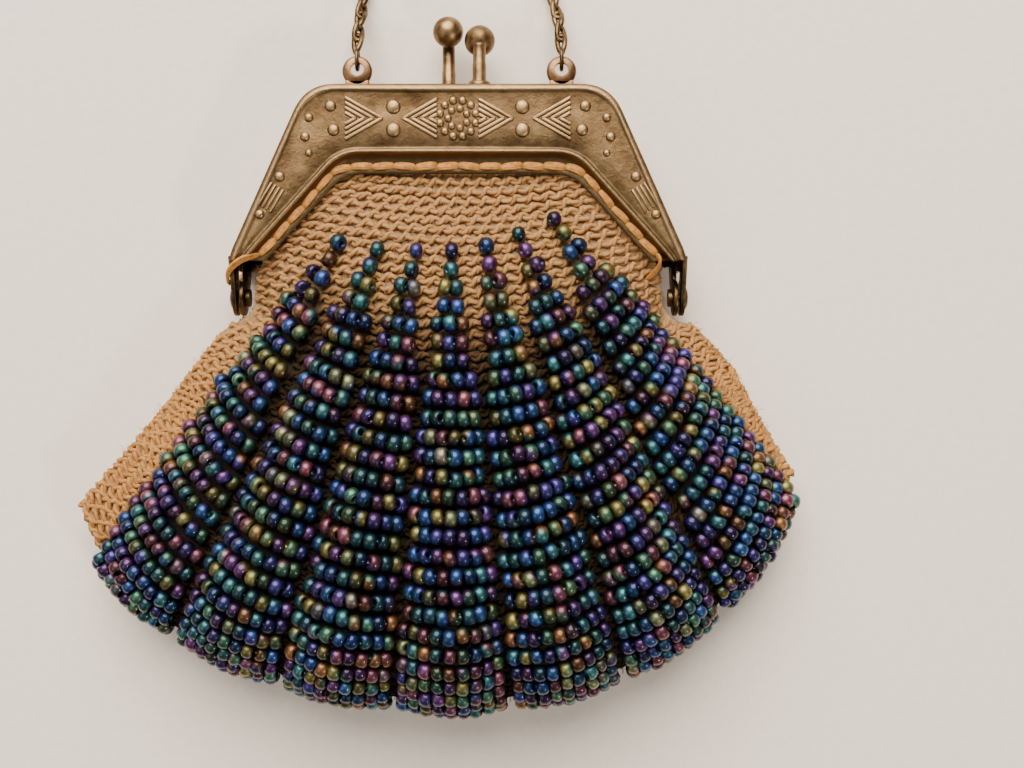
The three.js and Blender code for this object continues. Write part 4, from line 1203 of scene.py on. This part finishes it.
# Operators.
class PURSE_OT_knitting(bpy.types.Operator):
    """Make the knitted bag: its ground, and the yarn of its ridges on the front and the back"""

    bl_idname = "purse.knitting"
    bl_label = "Knitting"

    def execute(self, context):
        knit, beads = context.scene.purse_knit, context.scene.purse_beads
        ground = new_piece("knit_ground", self.ground_mesh(beads), ground_finish(), ["knit_bag"])
        thicken(ground, knit.wall)
        for side in HALVES:
            runs = list(self.ridges(side, knit, beads))
            plies = [ply for run in runs for ply in self.twisted(run, knit.yarn)]
            fibres = list(self.fibres(runs, knit))
            kinds = (("yarn", plies, knit.yarn * PLY["radius"]), ("fuzz", fibres, FUZZ["radius"] * MM))
            for kind, strands, radius in kinds:
                mesh = tube_mesh(f"{kind}_{side}", strands, radius, 0)
                self.mark_painted_bead_shade(mesh, beads)
                new_piece(f"{kind}_{side}", mesh, yarn_finish())
        return {"FINISHED"}

    def ground_mesh(self, beads):
        """Front and back sheets, joined down the side seams and along the fold, open at the mouth."""
        shape = bmesh.new()
        for side in HALVES:
            sheet = bmesh.new()
            bmesh.ops.create_grid(sheet, x_segments=GROUND["columns"], y_segments=GROUND["rows"], size=1.0)
            for vert in sheet.verts:
                vert.co = self.ground_point(side, vert.co.x, (1 - vert.co.y) / 2)
            if side == "back":
                bmesh.ops.reverse_faces(sheet, faces=sheet.faces)
            add_copy(shape, sheet, to_part())
            sheet.free()
        bmesh.ops.remove_doubles(shape, verts=shape.verts, dist=GROUND["weld"] * MM)
        mesh = mesh_of(shape, "knit_ground")
        self.mark_painted_bead_shade(mesh, beads)
        return mesh

    def mark_painted_bead_shade(self, mesh, beads):
        """Stores with each point how far painted shade from the beads darkens it."""
        store(mesh, "cover", [self.cover(vert.co, beads) for vert in mesh.vertices])

    def fibres(self, runs, knit):
        """Stray fibres that stand off the yarn here and there."""
        scatter = random.Random(SEEDS["fuzz"])
        for spot, out in (place for run in runs for place in run):
            if scatter.random() > FUZZ["share"]:
                continue
            lean = Vector((scatter.gauss(0, 1), scatter.gauss(0, 1), scatter.gauss(0, FUZZ["flat"])))
            ahead = (out * FUZZ["out"] + lean).normalized() * scatter.uniform(*FUZZ["length"]) * MM
            bend = Vector([scatter.gauss(0, 1) for _ in range(3)]) * ahead.length * FUZZ["bend"]
            root = spot + ahead.normalized() * knit.yarn * FUZZ["root"]
            tip = root + ahead
            tip.z = max(tip.z, FUZZ_OFF_TABLE * MM)
            yield [root, root + ahead * 0.5 + bend, tip]

    def twisted(self, run, yarn):
        """The two plies of a run of yarn: lists of points wound round its middle line."""
        spots = [spot for spot, _ in run]
        for ply in (0, math.pi):
            points = []
            for index, (spot, out) in enumerate(run):
                beside = heading(spots, index).cross(out).normalized()
                turn = ply + index * PLY["turn"]
                points.append(spot + (beside * math.cos(turn) + out * math.sin(turn)) * yarn * PLY["offset"])
            yield points

    def cover(self, spot, beads):
        """How far painted shade from the beads darkens a point of the knitting, from 0 to 1."""
        across, down = spot.x / MM, FAN_APEX_Y + HINGE_Y - spot.y / MM
        radius = math.hypot(across, down)
        angle = math.degrees(math.atan2(across, down)) - fan_lean(radius)
        between_ribs = rib_angle(0, radius) < angle < rib_angle(RIB_COUNT - 1, radius)
        depth = depth_under_beads(radius, angle, beads)
        shaded = smoothstep(depth, *PAINTED_BEAD_SHADE["between" if between_ribs else "beside"])
        return shaded * smoothstep(radius, PAINTED_BEAD_SHADE["start"], PAINTED_BEAD_SHADE["full"])

    def ground_point(self, side, across, share):
        down = 1 - (1 - share) ** GROUND["crowding"]
        angle, radius = across * GROUND_SEARCH["angle"], 0.0
        for _ in range(GROUND_SEARCH["rounds"]):
            radius = mix(mouth_radius(angle), fold_radius(angle), down)
            angle = across * half_angle(radius, across)
        sunk = GROUND["sunk"] * (1 - abs(across) ** EDGE_POWER["seam"]) * (1 - share ** EDGE_POWER["seam"])
        height = knit_height(side, radius, angle)
        angle *= 1 - CORNER_DRAWN_IN * smoothstep(share, GROUND["drawn_from"], 1.0)
        fill = FOLD_FILL + RIB_BULGE["fold"] * (1 - rib_gap(angle))
        radius += fill * (1 - abs(across) ** EDGE_POWER["corner"]) * share ** EDGE_POWER["seam"]
        return (*fan_point(radius, angle), height - sunk * WALL_SIGN[side])

    def ridges(self, side, knit, beads):
        """The yarn of each ridge as runs of points, left out where beads hide it."""
        pitch, step, swing = knit.row_pitch / MM, knit.stitch / MM / RIDGE["steps"], knit.wave / MM
        scatter = random.Random(SEEDS[side])
        for row in range(1, int(profile_at(0)[3] / pitch) + 1):
            phase, run = scatter.uniform(0, 2 * math.pi), []
            angle, right = (side_angle(end, row * pitch) for end in (-1, 1))
            while angle < right:
                walked = ridge_walk(angle, row * pitch)
                radius = bag_radius(angle, walked)
                if depth_under_beads(radius, angle, beads) > RIDGE["hidden"]:
                    if len(run) >= RIDGE["shortest"]:
                        yield run
                    run = []
                else:
                    at = walked if side == "front" else profile_at(angle)[0][-1] - walked
                    point, _, along, out = bag_frame(angle, at)
                    tuck = TUCK["depth"] * (1 - smoothstep(walked, TUCK["start"], TUCK["end"]))
                    wave = math.sin(phase) * WALL_SIGN[side]
                    spot = point - along * swing * wave + out * (RIDGE["ripple"] * wave - tuck)
                    run.append((placed(*spot), out))
                phase += 2 * math.pi / RIDGE["steps"] * scatter.uniform(*RIDGE["wander"])
                angle += math.degrees(step / radius)
            if len(run) >= RIDGE["shortest"]:
                yield run


class PURSE_OT_beads(bpy.types.Operator):
    """String the seed beads on the ribs of the front and the back"""

    bl_idname = "purse.beads"
    bl_label = "Seed beads"

    def execute(self, context):
        beads = context.scene.purse_beads
        template = bead_template(beads)
        for wall in HALVES:
            scatter = random.Random(beads.seed + (wall == "back"))
            shape = bmesh.new()
            colours = []
            for matrix in bead_places(wall, beads, scatter):
                add_copy(shape, template, to_part() @ matrix)
                colours.extend(iris_colours(template, scatter))
            mesh = mesh_of(shape, f"beads_{wall}")
            layer = mesh.color_attributes.new("iris", "FLOAT_COLOR", "POINT")
            layer.data.foreach_set("color", np.array(colours, np.float32).ravel())
            new_piece(f"beads_{wall}", mesh, iris_finish())
        template.free()
        return {"FINISHED"}


class PURSE_OT_frame(bpy.types.Operator):
    """Stamp the two halves of the brass frame, with relief, hinge tabs and chain ears"""

    bl_idname = "purse.frame"
    bl_label = "Frame halves"

    def execute(self, context):
        for half in HALVES:
            name, brass = f"frame_{half}", embossed_brass()
            sheet = new_piece(f"{name}_sheet", sheet_mesh(half), brass, [name], sharp=60)
            thicken(sheet, SHEET * MM)
            new_piece(f"{name}_relief", relief_mesh(half), brass)
            new_piece(f"{name}_tabs", tab_mesh(half), plain_brass("chain_brass"), sharp=50)
        new_piece("chain_ears", ear_mesh(), plain_brass("ear_brass"), sharp=50)
        return {"FINISHED"}


class PURSE_OT_hardware(bpy.types.Operator):
    """Turn the hinge rivets, and the posts and balls of the clasp"""

    bl_idname = "purse.hardware"
    bl_label = "Rivets and clasp"

    def execute(self, context):
        for half in HALVES:
            name, brass = f"clasp_{half}", plain_brass("clasp_brass")
            new_piece(f"{name}_ball", self.clasp_mesh(half), brass, [name], sharp=50)
        for word, side in (("left", -1), ("right", 1)):
            name, brass = f"hinge_rivet_{word}", plain_brass("chain_brass")
            new_piece(f"{name}_head", self.rivet_mesh(side, name), brass, [name], sharp=50)
        return {"FINISHED"}

    def clasp_mesh(self, half):
        """Peened tenon, foot, post with a rounded tip, and the ball beside the tip."""
        shape = bmesh.new()
        x, ball_y = CLASP_AT[half]
        tip = ball_y - BALL["radius"] * BALL["over_tip"]
        base = tip - POST["tip_rise"]
        profile = [(radius, POST["seat"] + height) for radius, height in POST_PROFILE]
        dome = domed(POST["tip"], base, POST["tip_rise"], POST["tip_start"])
        profile += [(POST["neck"], base), *dome, (0, tip)]
        place = half_matrix(half) @ Matrix.Translation((x, 0, POST["z"]))
        upright = Matrix.Rotation(-math.pi / 2, 4, "X")
        turned(shape, profile, place @ upright, segments=28)
        ball = bmesh.new()
        bmesh.ops.create_uvsphere(ball, u_segments=36, v_segments=20, radius=BALL["radius"])
        add_copy(shape, ball, place @ Matrix.Translation((0, ball_y, -BALL["lean"])) @ upright)
        ball.free()
        return mesh_of(shape, f"clasp_{half}_ball")

    def rivet_mesh(self, side, node):
        """A rivet across the hinge, with a domed head outside and a flat one inside."""
        shape = bmesh.new()
        outer = HALF_WIDTH + RIVET["clear"]
        inner = HALF_WIDTH - TAB["set_in"] - TAB["thickness"] - RIVET["clear"]
        shank, flat, dome, head = (RIVET[name] for name in ("shank", "inner_head", "outer_head", "head"))
        profile = [(0, inner - head), (flat, inner - head), (flat, inner), (shank, inner), (shank, outer)]
        profile += [(dome, outer), *domed(dome, outer, head, RIVET["head_start"]), (0, outer + head)]
        across = Matrix.Rotation(side * math.pi / 2, 4, "Y")
        turned(shape, profile, half_matrix("front") @ across, segments=28)
        return mesh_of(shape, f"{node}_head")


class PURSE_OT_thread(bpy.types.Operator):
    """Sew the bag to both flanges with floss"""

    bl_idname = "purse.thread"
    bl_label = "Sewing thread"

    def execute(self, context):
        thread = context.scene.purse_thread
        for half in HALVES:
            mesh = tube_mesh(f"sewing_{half}", list(self.stitches(half, thread)), thread.floss / 2)
            new_piece(f"sewing_{half}", mesh, floss_finish())
        return {"FINISHED"}

    def stitches(self, half, thread):
        """Backstitches from hole to hole: strands that rise over the flange and dip at the holes."""
        scatter = random.Random(SEEDS["thread"])
        line = spaced(rounded_outline(SEW_LINE), PATH_STEPS, FACE_END_Y + STITCH["past_end"])
        count, last = round(run_lengths(line)[-1] / STITCH["pitch"]), STITCH["steps"]
        holes = spaced(line, count * last + 1)
        place = half_matrix(half)
        for stitch in range(count):
            path = holes[stitch * last:(stitch + 1) * last + 1]
            tilt = scatter.uniform(-STITCH["tilt"], STITCH["tilt"])
            thick = scatter.uniform(*STITCH["thickness"])
            for strand in range(thread.strands):
                from_middle = strand - (thread.strands - 1) / 2
                points = []
                for step, spot in enumerate(path):
                    t = step / last
                    ahead = heading(path, step).normalized()
                    across = Vector((-ahead.y, ahead.x))
                    hump = math.sin(math.pi * t) ** STRAND["hump"]
                    twist = math.cos(math.pi * (t + strand / thread.strands))
                    spread = from_middle * STRAND["apart"] * thick * mix(STRAND["gathered"], 1.0, hump)
                    off = spread + tilt * (t - 0.5) * 2
                    rise = STRAND["rise"] + STRAND["twist"] * twist - STRAND["crown"] * abs(from_middle)
                    height = FLANGE_Z - STRAND["dip"] + hump * rise
                    points.append(self.off_table(place @ Vector((*(spot + across * off), height)), thread))
                yield points
        yield from self.end_wraps(place, thread)

    def off_table(self, spot, thread):
        """The spot, raised where the thread would lie in the table."""
        spot.z = max(spot.z, thread.floss / 2 + OFF_TABLE * MM)
        return spot

    def end_wraps(self, place, thread):
        """The thread's ends: the left one goes round the end of the leg, the right one into the bag."""
        for rows in (LEFT_THREAD_END, RIGHT_THREAD_END):
            for strand in (-1, 0, 1):
                points = smooth_route(rows, THREAD_END["points"])
                for index, (x, y, z) in enumerate(points):
                    hump = math.sin(math.pi * index / (len(points) - 1)) ** THREAD_END["hump"]
                    spread = THREAD_END["spread"] * strand * hump
                    spot = place @ Vector((x, y + spread, z + abs(x) / HALF_WIDTH * spread))
                    points[index] = self.off_table(spot, thread)
                yield points


class PURSE_OT_chain(bpy.types.Operator):
    """Link the chain from ear to ear"""

    bl_idname = "purse.chain"
    bl_label = "Chain"

    def execute(self, context):
        mesh = chain_mesh(context.scene.purse_chain)
        replaced = ["chain", "chain_end_link_left", "chain_end_link_right"]
        new_piece("chain_links", mesh, plain_brass("chain_brass"), replaced)
        return {"FINISHED"}


class PURSE_OT_stage(bpy.types.Operator):
    """Set the pale floor, the soft lights and the camera above the purse"""

    bl_idname = "purse.stage"
    bl_label = "Stage"

    def execute(self, context):
        stage = context.scene.purse_stage
        self.floor(stage)
        for lamp in LAMPS:
            self.lamp(*lamp)
        self.world()
        self.camera(stage)
        return {"FINISHED"}

    def floor(self, stage):
        shape = bmesh.new()
        bmesh.ops.create_grid(shape, x_segments=2, y_segments=2, size=FLOOR_SIZE)
        floor = linked("floor", mesh_of(shape, "floor"))
        finish = Finish("pale_floor", roughness=0.85)
        dark, bright = shade(stage.cloth, 0.97), shade(stage.cloth, 1.03)
        finish.to("Base Color", finish.blended(finish.grain("weave"), dark, bright))
        floor.data.materials.append(finish.material)

    def lamp(self, name, spot, size, power, tint):
        data = bpy.data.lights.new(name, "AREA")
        data.shape = "DISK"
        data.size = size
        data.energy = power
        data.color = tint
        lamp = linked(name, data)
        lamp.location = spot
        lamp.rotation_euler = (Vector(PURSE_MIDDLE) - Vector(spot)).to_track_quat("-Z", "Y").to_euler()

    def world(self):
        world = bpy.data.worlds.new("soft_room")
        world.use_nodes = True
        background = world.node_tree.nodes["Background"]
        background.inputs["Color"].default_value = ROOM["colour"]
        background.inputs["Strength"].default_value = ROOM["strength"]
        bpy.context.scene.world = world

    def camera(self, stage):
        data = bpy.data.cameras.new("eye")
        data.lens = stage.lens
        data.clip_start = NEAREST
        eye = linked("eye", data)
        eye.location = (stage.eye_x, stage.eye_y, stage.eye_height)
        bpy.context.scene.camera = eye


class PURSE_PT_panel(bpy.types.Panel):
    """The purse's pieces and their settings"""

    bl_idname = "PURSE_PT_panel"
    bl_label = "Beaded frame purse"
    bl_space_type = "VIEW_3D"
    bl_region_type = "UI"
    bl_category = "Purse"

    def draw(self, context):
        layout = self.layout
        for operator in OPERATORS:
            layout.operator(operator.bl_idname)
        for name, group in SETTINGS.items():
            box = layout.box()
            box.label(text=group.__doc__.rstrip("."))
            for setting in group.__annotations__:
                box.prop(getattr(context.scene, name), setting)


OPERATORS = (
    PURSE_OT_knitting,
    PURSE_OT_beads,
    PURSE_OT_frame,
    PURSE_OT_hardware,
    PURSE_OT_thread,
    PURSE_OT_chain,
    PURSE_OT_stage,
)


def register():
    for group in (*SETTINGS.values(), *OPERATORS, PURSE_PT_panel):
        bpy.utils.register_class(group)
    for name, group in SETTINGS.items():
        setattr(bpy.types.Scene, name, bpy.props.PointerProperty(type=group))


def unregister():
    for name in SETTINGS:
        delattr(bpy.types.Scene, name)
    for group in (PURSE_PT_panel, *reversed(OPERATORS), *SETTINGS.values()):
        bpy.utils.unregister_class(group)


def main():
    register()
    for operator in OPERATORS:
        family, name = operator.bl_idname.split(".")
        getattr(getattr(bpy.ops, family), name)()


if __name__ == "__main__":
    main()
